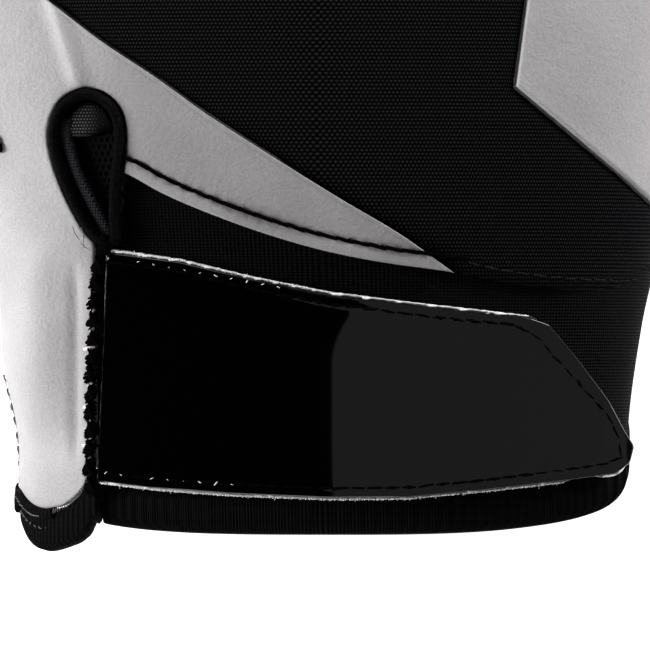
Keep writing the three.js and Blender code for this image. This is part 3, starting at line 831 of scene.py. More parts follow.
def lattice_effect():
    """Small loops in rows, each row shifted by half a pitch."""
    def build(tree, given):
        place = wire(tree, "ShaderNodeSeparateXYZ", {0: given["Place"]})
        across = arithmetic(tree, "DIVIDE", place.outputs[0], given["Pitch across"])
        along = arithmetic(tree, "DIVIDE", place.outputs[1], given["Pitch along"])
        row = arithmetic(tree, "FLOOR", along)
        shift = arithmetic(tree, "MULTIPLY", row, 0.5)
        x = arithmetic(tree, "SUBTRACT",
                       arithmetic(tree, "FRACT", arithmetic(tree, "ADD", across, shift)), 0.5)
        y = arithmetic(tree, "SUBTRACT", arithmetic(tree, "FRACT", along), 0.5)
        far = arithmetic(tree, "SQRT", arithmetic(
            tree, "ADD", arithmetic(tree, "MULTIPLY", x, x), arithmetic(tree, "MULTIPLY", y, y)))
        dome = arithmetic(tree, "MAXIMUM",
                          arithmetic(tree, "SUBTRACT", 1.0, arithmetic(tree, "MULTIPLY", far, 2.0)),
                          0.0)
        return {"Height": dome}

    return effect("Loop rows",
                  (("Place", "NodeSocketVector", None), ("Pitch across", "NodeSocketFloat", 0.5),
                   ("Pitch along", "NodeSocketFloat", 0.5)),
                  (("Height", "NodeSocketFloat"),), build)


def ribs_effect():
    """Ribs one way and weaker ones the other way."""
    def build(tree, given):
        place = wire(tree, "ShaderNodeSeparateXYZ", {0: given["Place"]})
        waves = []
        for axis, pitch in ((0, "Pitch across"), (1, "Pitch along")):
            turn = arithmetic(tree, "DIVIDE", place.outputs[axis], given[pitch])
            wave = arithmetic(tree, "SINE", arithmetic(tree, "MULTIPLY", turn, 2 * math.pi))
            waves.append(arithmetic(tree, "ADD", arithmetic(tree, "MULTIPLY", wave, 0.5), 0.5))
        second = arithmetic(tree, "MULTIPLY", waves[1], given["Cross share"])
        return {"Height": arithmetic(tree, "ADD", waves[0], second)}

    return effect("Ribs",
                  (("Place", "NodeSocketVector", None), ("Pitch across", "NodeSocketFloat", 0.6),
                   ("Pitch along", "NodeSocketFloat", 0.6), ("Cross share", "NodeSocketFloat", 0.4)),
                  (("Height", "NodeSocketFloat"),), build)


def blank_finish(name, **values):
    """A material with its Principled shader, and the sockets set that stay the same all over."""
    finish = bpy.data.materials.new(name)
    finish.use_nodes = True
    tree = finish.node_tree
    shader = tree.nodes["Principled BSDF"]
    for key, value in values.items():
        shader.inputs[key.replace("_", " ")].default_value = value
    return finish, tree, shader


def ramp(tree, value, low, high, low_at=0.0, high_at=1.0):
    """A number spread between two ends."""
    return wire(tree, "ShaderNodeMapRange",
                {"Value": value, "From Min": low_at, "From Max": high_at,
                 "To Min": low, "To Max": high}).outputs[0]


def tint(tree, share, dark, light):
    """A colour between two."""
    made = wire(tree, "ShaderNodeMix", {0: share}, data_type="RGBA")
    made.inputs[6].default_value = (*dark, 1)
    made.inputs[7].default_value = (*light, 1)
    return made.outputs[2]


def shades(tree, share, colour, dark, light):
    """One colour, darker and lighter."""
    return tint(tree, share, [c * dark for c in colour], [c * light for c in colour])


def dress(tree, shader, colour, roughness, height, strength, depth):
    """Links a finish's colour, roughness and bump to its shader."""
    normal = wire(tree, "ShaderNodeBump",
                  {"Height": height, "Strength": strength, "Distance": depth}).outputs[0]
    tree.links.new(colour, shader.inputs["Base Color"])
    tree.links.new(roughness, shader.inputs["Roughness"])
    tree.links.new(normal, shader.inputs["Normal"])


def flat_place(tree):
    """Place on the flat cloth, in millimetres."""
    return tree.nodes.new("ShaderNodeUVMap").outputs[0]


def object_place(tree):
    """Place on the object, in millimetres."""
    place = tree.nodes.new("ShaderNodeTexCoord").outputs["Object"]
    return wire(tree, "ShaderNodeMapping", {"Vector": place, "Scale": (1000.0,) * 3}).outputs[0]


@functools.cache
def white_leather(name="White leather", painted_shade_factor=1.0):
    """Coated leather; with a factor below one, painted shade darkens it from the thumb side to the
    back of the hand.
    """
    colour = bpy.context.scene.glove_colours.leather
    finish, tree, shader = blank_finish(name, Specular_IOR_Level=0.3)
    grain = wire(tree, "ShaderNodeGroup", {"Place": object_place(tree), "Scale": 1.7},
                 node_tree=grain_effect())
    share = arithmetic(tree, "ADD", ramp(tree, grain.outputs["Broad"], 0, 0.35, 0.35, 0.65),
                       ramp(tree, grain.outputs["Fine"], 0, 0.65, 0.36, 0.64))
    base = shades(tree, share, colour, 0.8, 1.06)
    if painted_shade_factor < 1:
        # Painted shade: the colour is darkened along the object's X, standing in for the wedge
        # turned away from the key lamp.
        right = wire(tree, "ShaderNodeSeparateXYZ", {0: object_place(tree)}).outputs[0]
        painted_shade_mask = ramp(tree, right, 0.0, 1.0, -21.0, -11.0)
        mixed = wire(tree, "ShaderNodeMix", {0: painted_shade_mask}, data_type="RGBA", blend_type="MULTIPLY")
        tree.links.new(base, mixed.inputs[6])
        mixed.inputs[7].default_value = (painted_shade_factor, painted_shade_factor * 0.985, painted_shade_factor, 1)
        base = mixed.outputs[2]
    dress(tree, shader, base, ramp(tree, grain.outputs["Fine"], 0.55, 0.75, 0.3, 0.7),
          grain.outputs["Height"], 0.6, 0.00012)
    return finish


def loop_rows(tree, across, along):
    return wire(tree, "ShaderNodeGroup",
                {"Place": flat_place(tree), "Pitch across": across, "Pitch along": along},
                node_tree=lattice_effect()).outputs["Height"]


@functools.cache
def stretch_fabric():
    colour = bpy.context.scene.glove_colours.fabric
    finish, tree, shader = blank_finish("Stretch fabric", Specular_IOR_Level=0.02)
    # Painted highlights: the tops of the knit's loops are coloured up to twelve times lighter as
    # glints, and the gaps between them darker as painted shade.
    height = loop_rows(tree, 0.46, 0.5)
    painted_glints = arithmetic(tree, "POWER", height, 2.2)
    dress(tree, shader, shades(tree, painted_glints, colour, 0.1, 12), ramp(tree, height, 0.8, 0.42),
          height, 0.8, 0.00012)
    return finish


@functools.cache
def mesh_fabric():
    colour = bpy.context.scene.glove_colours.fabric
    finish, tree, shader = blank_finish("Mesh fabric", Specular_IOR_Level=0.02)
    # Painted shade: the holes are coloured darker than the threads round them.
    height = arithmetic(tree, "SUBTRACT", 1.0, loop_rows(tree, 1.0, 0.9))
    dress(tree, shader, shades(tree, height, colour, 0.2, 1.3), ramp(tree, height, 0.9, 0.6),
          height, 1.0, 0.0003)
    return finish


def ribbed(name, across, along, share, dark=0.5, light=1.6, depth=0.0001):
    """Black cloth with ribs, pitches in millimetres."""
    colour = bpy.context.scene.glove_colours.fabric
    finish, tree, shader = blank_finish(name, Specular_IOR_Level=0.02)
    ribs = wire(tree, "ShaderNodeGroup",
                {"Place": flat_place(tree), "Pitch across": across, "Pitch along": along,
                 "Cross share": share}, node_tree=ribs_effect())
    height = ribs.outputs["Height"]
    # Painted highlight and painted shade: the rib crests are coloured lighter and the troughs
    # darker.
    shade = ramp(tree, height, 0, 1, 0, 1 + share)
    dress(tree, shader, shades(tree, shade, colour, dark, light),
          ramp(tree, height, 0.8, 0.5, 0, 1 + share), height, 0.8, depth)
    return finish


@functools.cache
def elastic_knit():
    return ribbed("Elastic knit", 0.5, 0.41, 2.2, 0.2, 3.0, 0.00014)


@functools.cache
def hem_knit():
    return ribbed("Hem knit", 0.36, 1.1, 0.3, 0.2, 1.4)


@functools.cache
def lobe_mesh():
    """Fine mesh with painted highlights on its threads in rows, fading into painted shade towards
    the right.
    """
    finish, tree, shader = blank_finish("Lobe mesh", Specular_IOR_Level=0.1)
    height = loop_rows(tree, 0.5, 0.42)
    right = wire(tree, "ShaderNodeSeparateXYZ", {0: object_place(tree)}).outputs[0]
    # Painted shade: the highlights fade out towards the right along the object's X.
    painted_highlight_fade = ramp(tree, right, 1.0, 0.0, -18.5, -13.6)
    shade = arithmetic(tree, "MULTIPLY", arithmetic(tree, "POWER", height, 1.6), painted_highlight_fade)
    dress(tree, shader, tint(tree, shade, (0.001, 0.001, 0.0012), (0.3, 0.3, 0.31)),
          ramp(tree, shade, 0.9, 0.6), height, 0.8, 0.0001)
    return finish


@functools.cache
def binding_tape():
    return ribbed("Binding tape", 0.32, 0.9, 0.35)


@functools.cache
def ribbon_knit():
    # Painted highlight: the ribbon's crests are coloured up to 22 times lighter than the fabric.
    return ribbed("Ribbon knit", 0.34, 0.38, 1.0, 0.2, 22.0, 0.00014)


@functools.cache
def strap_gloss():
    colour = bpy.context.scene.glove_colours.strap
    finish, tree, shader = blank_finish("Strap gloss", Coat_Weight=1.0, Coat_Roughness=0.03,
                                        Specular_IOR_Level=0.0)
    place = object_place(tree)
    peel = wire(tree, "ShaderNodeTexNoise", {"Vector": place, "Scale": 0.35, "Detail": 3.0})
    dust = wire(tree, "ShaderNodeTexNoise", {"Vector": place, "Scale": 3.0, "Detail": 6.0})
    dress(tree, shader, tint(tree, ramp(tree, dust.outputs[0], 0, 1, 0.6, 0.85), colour,
                             [c * 2 + 0.0003 for c in colour]),
          ramp(tree, dust.outputs[0], 0.4, 0.6, 0.4, 0.8), peel.outputs[0], 0.2, 0.0002)
    return finish


@functools.cache
def strap_backing():
    colour = bpy.context.scene.glove_colours.backing
    finish, tree, shader = blank_finish("Strap backing")
    fuzz = wire(tree, "ShaderNodeTexNoise",
                {"Vector": object_place(tree), "Scale": 4.0, "Detail": 6.0})
    dress(tree, shader, shades(tree, ramp(tree, fuzz.outputs[0], 0, 1, 0.3, 0.7), colour, 0.85, 1),
          ramp(tree, fuzz.outputs[0], 0.8, 1.0), fuzz.outputs[0], 1.0, 0.0003)
    return finish


# Pieces

def puffed(level, rise=0.0, width=1.0):
    """A panel's face at one level, with its own rise along the edge."""
    return lambda p, distance: level + rise * bell(distance, width)


def pane(mesh, fields, levels, face, radius=0.35, base=-1.2):
    """A panel cut from a mesh by fields, with its edges rounded and its face set by a function."""
    rim = least(*fields)
    panel = ringed(trimmed(mesh, fields), rim, levels)
    distance = rim(panel[0])
    outer = face(panel[0], distance) - rounded(distance, radius)
    return sheet_solid(panel, outer, base)


def make_side_panel():
    """The thumb-side panel with its folded wedge, creases and dents."""
    fields = (left_of(fold_side), left_of(seam_side), outside(moved(loop_inside, 0.3)),
              off_seam, left_of(thumb_side), off_hem)
    mesh = trimmed(back_net(), fields)
    mesh = ringed(mesh, least(*fields), (0.12, 0.35, 0.8))
    mesh = ringed(mesh, fold_side, (STITCH_INSET - 0.3, STITCH_INSET, STITCH_INSET + 0.3))
    mesh = ringed(mesh, seam_side, (0.5, 0.65))
    points = mesh[0]
    distance = least(*fields)(points)
    over = fold_side(points)
    run = line_place(points, FOLD)[1]
    pucker = 0.6 + 0.4 * np.cos(2 * math.pi * run / STITCH_PITCH)
    on_fold = (points[:, 0] > -27) & (over < 4)
    band = np.where(on_fold, np.exp(-((over - 0.9) / 1.05) ** 4), 0)
    groove = np.where(on_fold, bell(over - STITCH_INSET, 0.26) * pucker, 0)
    seam = seam_side(points)
    lip = 0.7 * bell(seam - 0.2, 0.2) - 0.3 * bell(seam - 0.62, 0.16)
    x, y = points[:, 0], points[:, 1]
    crease = 0.75 * bell(x + 31.6 + 0.32 * (y - 58), 1.1) * falloff(y, 60, 70, 3)
    waves = 0.12 * np.sin(x * 0.5 + 0.35 * y + 1.5 * np.sin(y * 0.16)) * falloff(y, 8, 80, 6)
    bulge = 0.9 * bell(y - 22, 5.5) * np.clip((-34 - x) / 5, 0, 1)
    bulge = bulge + 0.9 * bell(x + 37.5, 2.6) * falloff(y, 9, 34, 6)
    dent = -0.8 * bell(x + 36.5, 2.6) * bell(y - 11.5, 3.4)
    tuck = -0.5 * bell(x + 32.6, 0.75) * falloff(y, 13, 32, 5)
    outer = 0.22 + 0.25 * band - 0.4 * groove + 0.2 * lip + crease + waves + bulge + dent + tuck
    outer = outer - rounded(distance, 0.25)
    # The wedge's leather carries painted shade, darker towards the back of the hand.
    make("side_panel_leather", sheet_solid(mesh, outer, -1.2), white_leather("Wedge leather with painted shade", 0.73),
         "white_leather", ["side_panel"])


def make_outer_panel():
    fields = (left_of(outer_seam), left_of(outer_edge), off_seam,
              right_of(root_side))
    panel = pane(back_net(), fields, (0.12, 0.35, 0.8), puffed(0.22, 0.08, 0.8))
    make("outer_panel_leather", panel, white_leather(),
         "white_leather", ["outer_panel"])


def make_hand_back():
    outer = lambda p: np.maximum(-outer_seam(p), -outer_edge(p)) - GAP
    fields = (right_of(seam_side), left_of(hem_side), outer, off_seam,
              right_of(root_side), left_of(thumb_side))
    panel = pane(back_net(), fields, (0.3, 0.9), puffed(-0.1, -0.45, 0.9))
    make("hand_back_fabric", panel, stretch_fabric(),
         "stretch_fabric", ["hand_back"])


def make_thumb_back():
    nearer = lambda p: digit_gap(p, "index") - digit_gap(p, "thumb") + 1
    fields = (right_of(thumb_side), off_seam, nearer, off_hem)

    def face(p, distance):
        folds = 1.2 * knuckle_folds(p, "thumb") * (p[:, 2] > SEAM_Z)
        return 0.15 + 0.1 * bell(distance, 1.2) + folds

    make("thumb_back_leather", pane(whole_net(), fields, (0.4, 1.0), face), white_leather(),
         "white_leather", ["thumb_back"])


def lane_gaps():
    """Fields that part one finger from the next, above zero on the thumb side."""
    lines = []
    spokes = []
    for name in FINGERS:
        start, along, _ = digit_axes(name)
        spokes.append((start - 30 * along, start + 224 * along))
    for (a, b), (c, d) in zip(spokes, spokes[1:]):
        lines.append(line_gap(np.array(((a + c) / 2, (b + d) / 2))))
    return spokes, lines


def knuckle_folds(p, name):
    """Soft folds across a finger at its joints."""
    u, v = digit_place(p, name)
    total = np.zeros(len(p))
    for i, (share, depth) in enumerate(((.2, .3), (.27, .35), (.52, .3), (.58, .4), (.79, .2))):
        at = DIGITS[name][3] * share + 0.9 * np.sin(0.35 * v + 1.7 * i + DIGITS[name][0])
        total -= depth * bell(u - at, 1.1) * np.exp(-(v / 9) ** 4)
    return total


def make_finger_backs():
    _, lanes = lane_gaps()
    for i, name in enumerate(FINGERS):
        end = WALL_END * DIGITS[name][3]

        def wall(p, name=name, end=end):
            return np.maximum(p[:, 2] - WALL_TOP, digit_place(p, name)[0] - end) - GAP

        fields = [left_of(root_side), off_seam, wall]
        if i > 0:
            fields.append(right_of(lanes[i - 1]))
        if i < 3:
            fields.append(left_of(lanes[i]))

        def face(p, distance, name=name):
            return -0.05 - 0.3 * bell(distance, 1.0) + knuckle_folds(p, name)

        mesh = pane(whole_net(), fields, (0.4, 1.0), face)
        make(f"{name}_back_fabric", mesh, stretch_fabric(), "stretch_fabric", [f"{name}_back"],
             lay_out(mesh[0], name))


def make_side_walls():
    spokes, _ = lane_gaps()
    names = ["sidewall_index"]
    names += [f"fourchette_{a}_{b}" for a, b in zip(FINGERS, FINGERS[1:])]
    names.append("sidewall_little")
    axes = [line_gap(np.array(spoke)) for spoke in spokes]

    def low(p):
        return np.minimum(WALL_TOP - p[:, 2], p[:, 2] - SEAM_Z) - GAP

    for i, name in enumerate(names):
        beside = [FINGERS[j] for j in (i - 1, i) if 0 <= j < 4]

        def short(p, beside=beside):
            ends = []
            for digit in beside:
                ends.append(WALL_END * DIGITS[digit][3] - digit_place(p, digit)[0]
                            + 60 * (digit_gap(p, digit) > 2.5))
            return np.minimum.reduce(ends) - GAP

        fields = [left_of(root_side), low, short]
        if i > 0:
            fields.append(right_of(axes[i - 1]))
        if i < 4:
            fields.append(left_of(axes[i]))

        digit = beside[0]
        mesh = pane(whole_net(), fields, (0.4,), puffed(-0.15, -0.25, 0.8))
        make(name + "_mesh", mesh, mesh_fabric(), "mesh_fabric", [name], lay_out(mesh[0], digit))


def make_palm():
    fields = (lambda p: SEAM_Z - GAP - p[:, 2], off_hem)

    def face(p, distance):
        folds = np.minimum.reduce([knuckle_folds(p, name) for name in DIGITS])
        creases = 0
        for line in PALM_CREASES:
            creases = creases - 0.6 * bell(line_place(p, line)[0], 0.9)
        return folds + creases - 0.3 * bell(distance, 0.7)

    mesh = pane(whole_net(), fields, (0.4, 1.0), face)
    make("palm_leather", mesh, white_leather(), "white_leather", ["palm"], mesh[0][:, :2].copy())


def stretched(mesh):
    """The elastic stands wider than the leather on the little-finger side."""
    points, faces = mesh
    right = np.clip((points[:, 0] - 24) / 12, 0, 1)
    high = np.clip((points[:, 2] - 6) / 5, 0, 1)
    ease = right ** 2 * (3 - 2 * right) * high ** 2 * (3 - 2 * high)
    points = points + np.outer(ease, (1.8, 0, 0))
    return points, faces


def make_cuff():
    def slit(p):
        return p[:, 0] - SLIT_X - 0.9

    def under(p):
        on_wedge = p[:, 0] < WEDGE_END
        return 3 - np.maximum(fold_side(p) * on_wedge, hem_side(p) * ~on_wedge)

    def low(p):
        return p[:, 2] - np.where(p[:, 0] < 0, 12, 3)

    def hem(p):
        return p[:, 1] - slope_edge(around(p)) - 5.7

    fields = (slit, under, outside(moved(loop_inside, 0.6)), low, hem)
    knit = stretched(pane(back_net(), fields, (), puffed(-1.5), base=-2.9))
    make("cuff_knit", knit, elastic_knit(), "elastic_knit", ["cuff"])


def make_lining():
    """Dark knit that lines the wrist under the leather."""
    fields = (off_hem, lambda p: 13.5 - p[:, 2], lambda p: 48 - p[:, 1])
    lining = pane(whole_net(), fields, (0.5,), puffed(-1.45), radius=0.1, base=-1.95)
    make("wrist_lining", lining, stretch_fabric(), "mesh_fabric")


def band_mesh(angles, low, high, outer, inner, rib=0.0, per=4, sides=10):
    """A rolled band round the wrist, with fine ribs across it."""
    rings = []
    middle = (outer + inner) / 2
    thick = (outer - inner) / 2
    round_angles = np.linspace(0, 2 * math.pi, sides, endpoint=False)
    for i, angle in enumerate(angles):
        swell = rib * math.cos(2 * math.pi * i / per)
        bottom, top = low(angle), high(angle)
        ys, offsets = [], []
        for turn in round_angles:
            c, s = math.cos(turn), math.sin(turn)
            ys.append((bottom + top) / 2 - (top - bottom) / 2 * np.sign(c) * abs(c) ** 0.45)
            offsets.append(middle + (thick + swell) * np.sign(s) * abs(s) ** 0.6)
        rings.append((ys, offsets))
    ys = np.array([r[0] for r in rings])
    offsets = np.array([r[1] for r in rings])
    grid = on_section(ys, np.repeat(np.array(angles)[:, None], sides, 1), offsets)
    return tube(grid)


def tube(grid, closed=False):
    """A closed skin over rings of points, its ends closed by fans."""
    rows, sides = grid.shape[:2]
    points = grid.reshape(-1, 3)
    spans = rows if closed else rows - 1
    r = np.arange(spans)[:, None] * sides
    there = ((np.arange(spans) + 1) % rows)[:, None] * sides
    s = np.arange(sides)[None]
    n = (s + 1) % sides
    a, b, c, d = r + s, r + n, there + n, there + s
    faces = [np.stack((a, b, c), -1).reshape(-1, 3), np.stack((a, c, d), -1).reshape(-1, 3)]
    if not closed:
        for row, flip in ((0, True), (rows - 1, False)):
            points = np.concatenate((points, grid[row].mean(0)[None]))
            tip = np.full(sides, len(points) - 1)
            ring = row * sides + np.arange(sides)
            after = row * sides + (np.arange(sides) + 1) % sides
            fan = np.stack((tip, after, ring) if flip else (tip, ring, after), 1)
            faces.append(fan)
    faces = np.concatenate(faces)
    a, b, c = points[faces[:, 0]], points[faces[:, 1]], points[faces[:, 2]]
    volume = np.einsum("ij,ij->i", a, np.cross(b, c)).sum()
    if volume < 0:
        faces = faces[:, ::-1]
    return points, faces


def make_hems():
    """The bound edges of the wrist, with the roll and the knot on the side part."""
    step = 0.003
    for name, first, last, edge, top, finish, slot in (
        ("cuff_hem", RIGHT_SEAM + .0005, SLIT_ANGLE - .015, slope_edge, -1.2, hem_knit,
         "elastic_knit"),
        ("side_hem", SLIT_ANGLE - .02, LEFT_SEAM - .0005, side_edge, 0.5, binding_tape,
         "binding_tape"),
        ("palm_hem", LEFT_SEAM + .0005, 2 * math.pi + RIGHT_SEAM - .0005, slope_edge, 0.5,
         binding_tape, "binding_tape"),
    ):
        angles = np.arange(first, last, step)
        high = hem_top if name == "side_hem" else lambda a: slope_edge(a) + HEM_BAND
        mesh = stretched(band_mesh(angles, edge, high, top, top - HEM_THICKNESS, 0.04))
        make(name + "_band", mesh, finish(), slot, [name])
    span = LEFT_SEAM - SLIT_ANGLE
    for name, first, last, outer, low, high in (
        ("side_hem_roll", 0.2, 0.62, 1.05, -1.15, 0.25),
        ("side_hem_knot", 0.58, 0.7, 1.25, -2.9, -0.5),
    ):
        angles = np.arange(SLIT_ANGLE + first * span, SLIT_ANGLE + last * span, step)
        roll = band_mesh(angles, lambda a, d=low: hem_top(a) + d, lambda a, d=high: hem_top(a) + d,
                         outer, -0.4, 0.03)
        make(name, roll, binding_tape(), "binding_tape")


def tape(line, half_width, half_height, offset, closed, slant=0.0):
    """A rounded tape with fine ribs, laid on the outer face along a line seen from above."""
    place = np.concatenate(([0], np.cumsum(np.linalg.norm(np.diff(line, axis=0), axis=1))))
    run = (np.roll(line, -1, 0) - np.roll(line, 1, 0)) if closed else np.gradient(line, axis=0)
    side = np.stack((-run[:, 1], run[:, 0]), 1) / np.linalg.norm(run, axis=1)[:, None]
    turns = np.linspace(0, 2 * math.pi, 16, endpoint=False)
    ribs = 2 * math.pi * (place[:, None] / 0.34 + slant * np.cos(turns)[None] * half_width / 0.34)
    grow = 1 + 0.07 * np.cos(ribs)
    flat = line[:, None] + side[:, None] * (half_width * np.cos(turns) * grow)[..., None]
    points, normal = laid(flat.reshape(-1, 2), 0.0)
    lift = offset + half_height * np.sign(np.sin(turns)) * np.abs(np.sin(turns)) ** 0.8 * grow
    return tube((points + normal * lift.reshape(-1, 1)).reshape(*flat.shape[:2], 3), closed)


def make_slit():
    """Tape round the drop-shaped end of the slit, and the dark fabric inside it."""
    loop = even_line(np.concatenate((LOOP, LOOP[:1])), 0.1)[:-1]
    loop = inset(loop, 0.7)
    make("slit_binding_tape", tape(loop, 0.66, 1.2, 0.0, True), binding_tape(),
         "binding_tape", ["slit_binding"])
    ribbon = even_line(smooth_line((
        (-33.9, 54.4), (-34.1, 52.7), (-33.8, 51.1), (-33.4, 49.8), (-32.9, 48.2), (-32.2, 46.5),
        (-31.4, 44.9), (-30.4, 42.9), (-29.2, 40.6), (-28.4, 38.8))), 0.1)
    # The ribbon along the loop's inner edge carries painted highlights.
    make("slit_ribbon", tape(ribbon, 0.8, 0.7, -0.75, False, 0.5), ribbon_knit(),
         "binding_tape")
    gap = even_line(np.array([(-29.62, 38.4), (-29.62, 4.5)]), 0.1)
    make("slit_gap_tape", tape(gap, 0.42, 0.5, -0.85, False), binding_tape(), "binding_tape")

    def low(p):
        return p[:, 2] - 18

    def lobe_edge(p):
        return p[:, 1] - 52.0 - 0.06 * (p[:, 0] + 33) ** 2

    lobe = pane(back_net(), (moved(loop_inside, -1.5), low, lobe_edge), (0.3, 0.8), puffed(-0.5),
                radius=0.8, base=-1.7)
    make("slit_lobe", lobe, lobe_mesh(), "mesh_fabric")
    gusset = pane(back_net(), (moved(loop_inside, 0.3), low), (), puffed(-2.0), base=-3.2)
    make("slit_gusset_mesh", gusset, mesh_fabric(), "mesh_fabric", ["slit_gusset"])


def strap_face(flat, offset=0.0):
    """The strap's own face over places seen from above: its free end stands off the cuff."""
    x, y = flat[:, 0], flat[:, 1]
    past = np.maximum(x - STRAP_FREE, 0)
    points, normal = laid(np.column_stack((np.minimum(x, STRAP_FREE), y)))
    slope_x = -normal[:, 0] / normal[:, 2]
    slope_y = -normal[:, 1] / normal[:, 2]
    height = points[:, 2] + slope_x * past - 0.01 * past ** 2
    share = np.clip((y - 23) / 8, 0, 1)
    wave = np.tanh((x - 5) / 6)
    height = height + 0.17 * (wave + 1) * share ** 1.5
    slope_x = slope_x - 0.02 * past + 0.17 / 6 * (1 - wave ** 2) * share ** 1.5
    normal = np.stack((-slope_x, -slope_y, np.ones(len(x))), 1)
    normal /= np.linalg.norm(normal, axis=1)[:, None]
    points = np.stack((x, y, height), 1)
    return points + normal * np.reshape(offset, (-1, 1)), normal


def strap_sheet(field, levels, face, radius, base):
    """A layer of the strap inside a field, with its rim rounded."""
    plan = trimmed(flat_net((-31.5, 2.5), (42, 40.5), 0.5), (field,), 0.15, unmoved)
    flat, faces = ringed(plan, field, levels)
    outer = face(flat, field(flat)) - rounded(field(flat), radius)
    points, normal = strap_face(flat[:, :2])
    return sheet_solid((points, faces), outer, base, normal)


def make_strap():
    def skin_face(p, distance):
        x = p[:, 0]
        sewn = np.clip((x + 27.6) / 0.8, 0, 1) * np.clip((27 - x) / 1, 0, 1)
        return 1.1 - 0.1 * sewn * bell(distance - 1.2, 0.22)

    skin = strap_sheet(strap_inside, (0.1, 0.3, 0.9, 1.2, 1.5), skin_face, 0.12, 0.1)
    make("strap_skin_gloss", skin, strap_gloss(), "strap_gloss", ["strap_skin"],
         skin[0][:, :2].copy())

    def shown(p):
        """How far the raw edge shows outside the skin."""
        x = p[:, 0]
        upper = 0.34 * np.clip((28 - x) / 1.5, 0, 1)
        bit = 1.5 * falloff(x, 35.8, 38.6, 0.6) * (p[:, 1] < 10.4)
        lower = 0.27 * np.maximum(np.clip((32.5 - x) / 1.5, 0, 1), bit)
        uneven = 0.05 * np.sin(x * 5.3) * np.sin(x * 1.7 + 1) + 0.025 * np.sin(x * 13)
        inward = 0.5 * np.clip((-28.2 - x) / 0.8, 0, 1)
        slanted = 0.05 * np.clip(x - 29, 0, 1) * (p[:, 1] > 12)
        return np.where(p[:, 1] > 16, upper, lower) + uneven - 0.08 - inward - slanted

    edge = lambda p: strap_inside(p) + shown(p)

    def face(p, distance):
        return np.where(strap_inside(p) < 0, 0.9, -0.2)

    backing = strap_sheet(edge, (0.3,), face, 0.06, -1.2)
    make("strap_backing_layer", backing, strap_backing(), "strap_backing", ["strap_backing"],
         backing[0][:, :2].copy())


# Threads

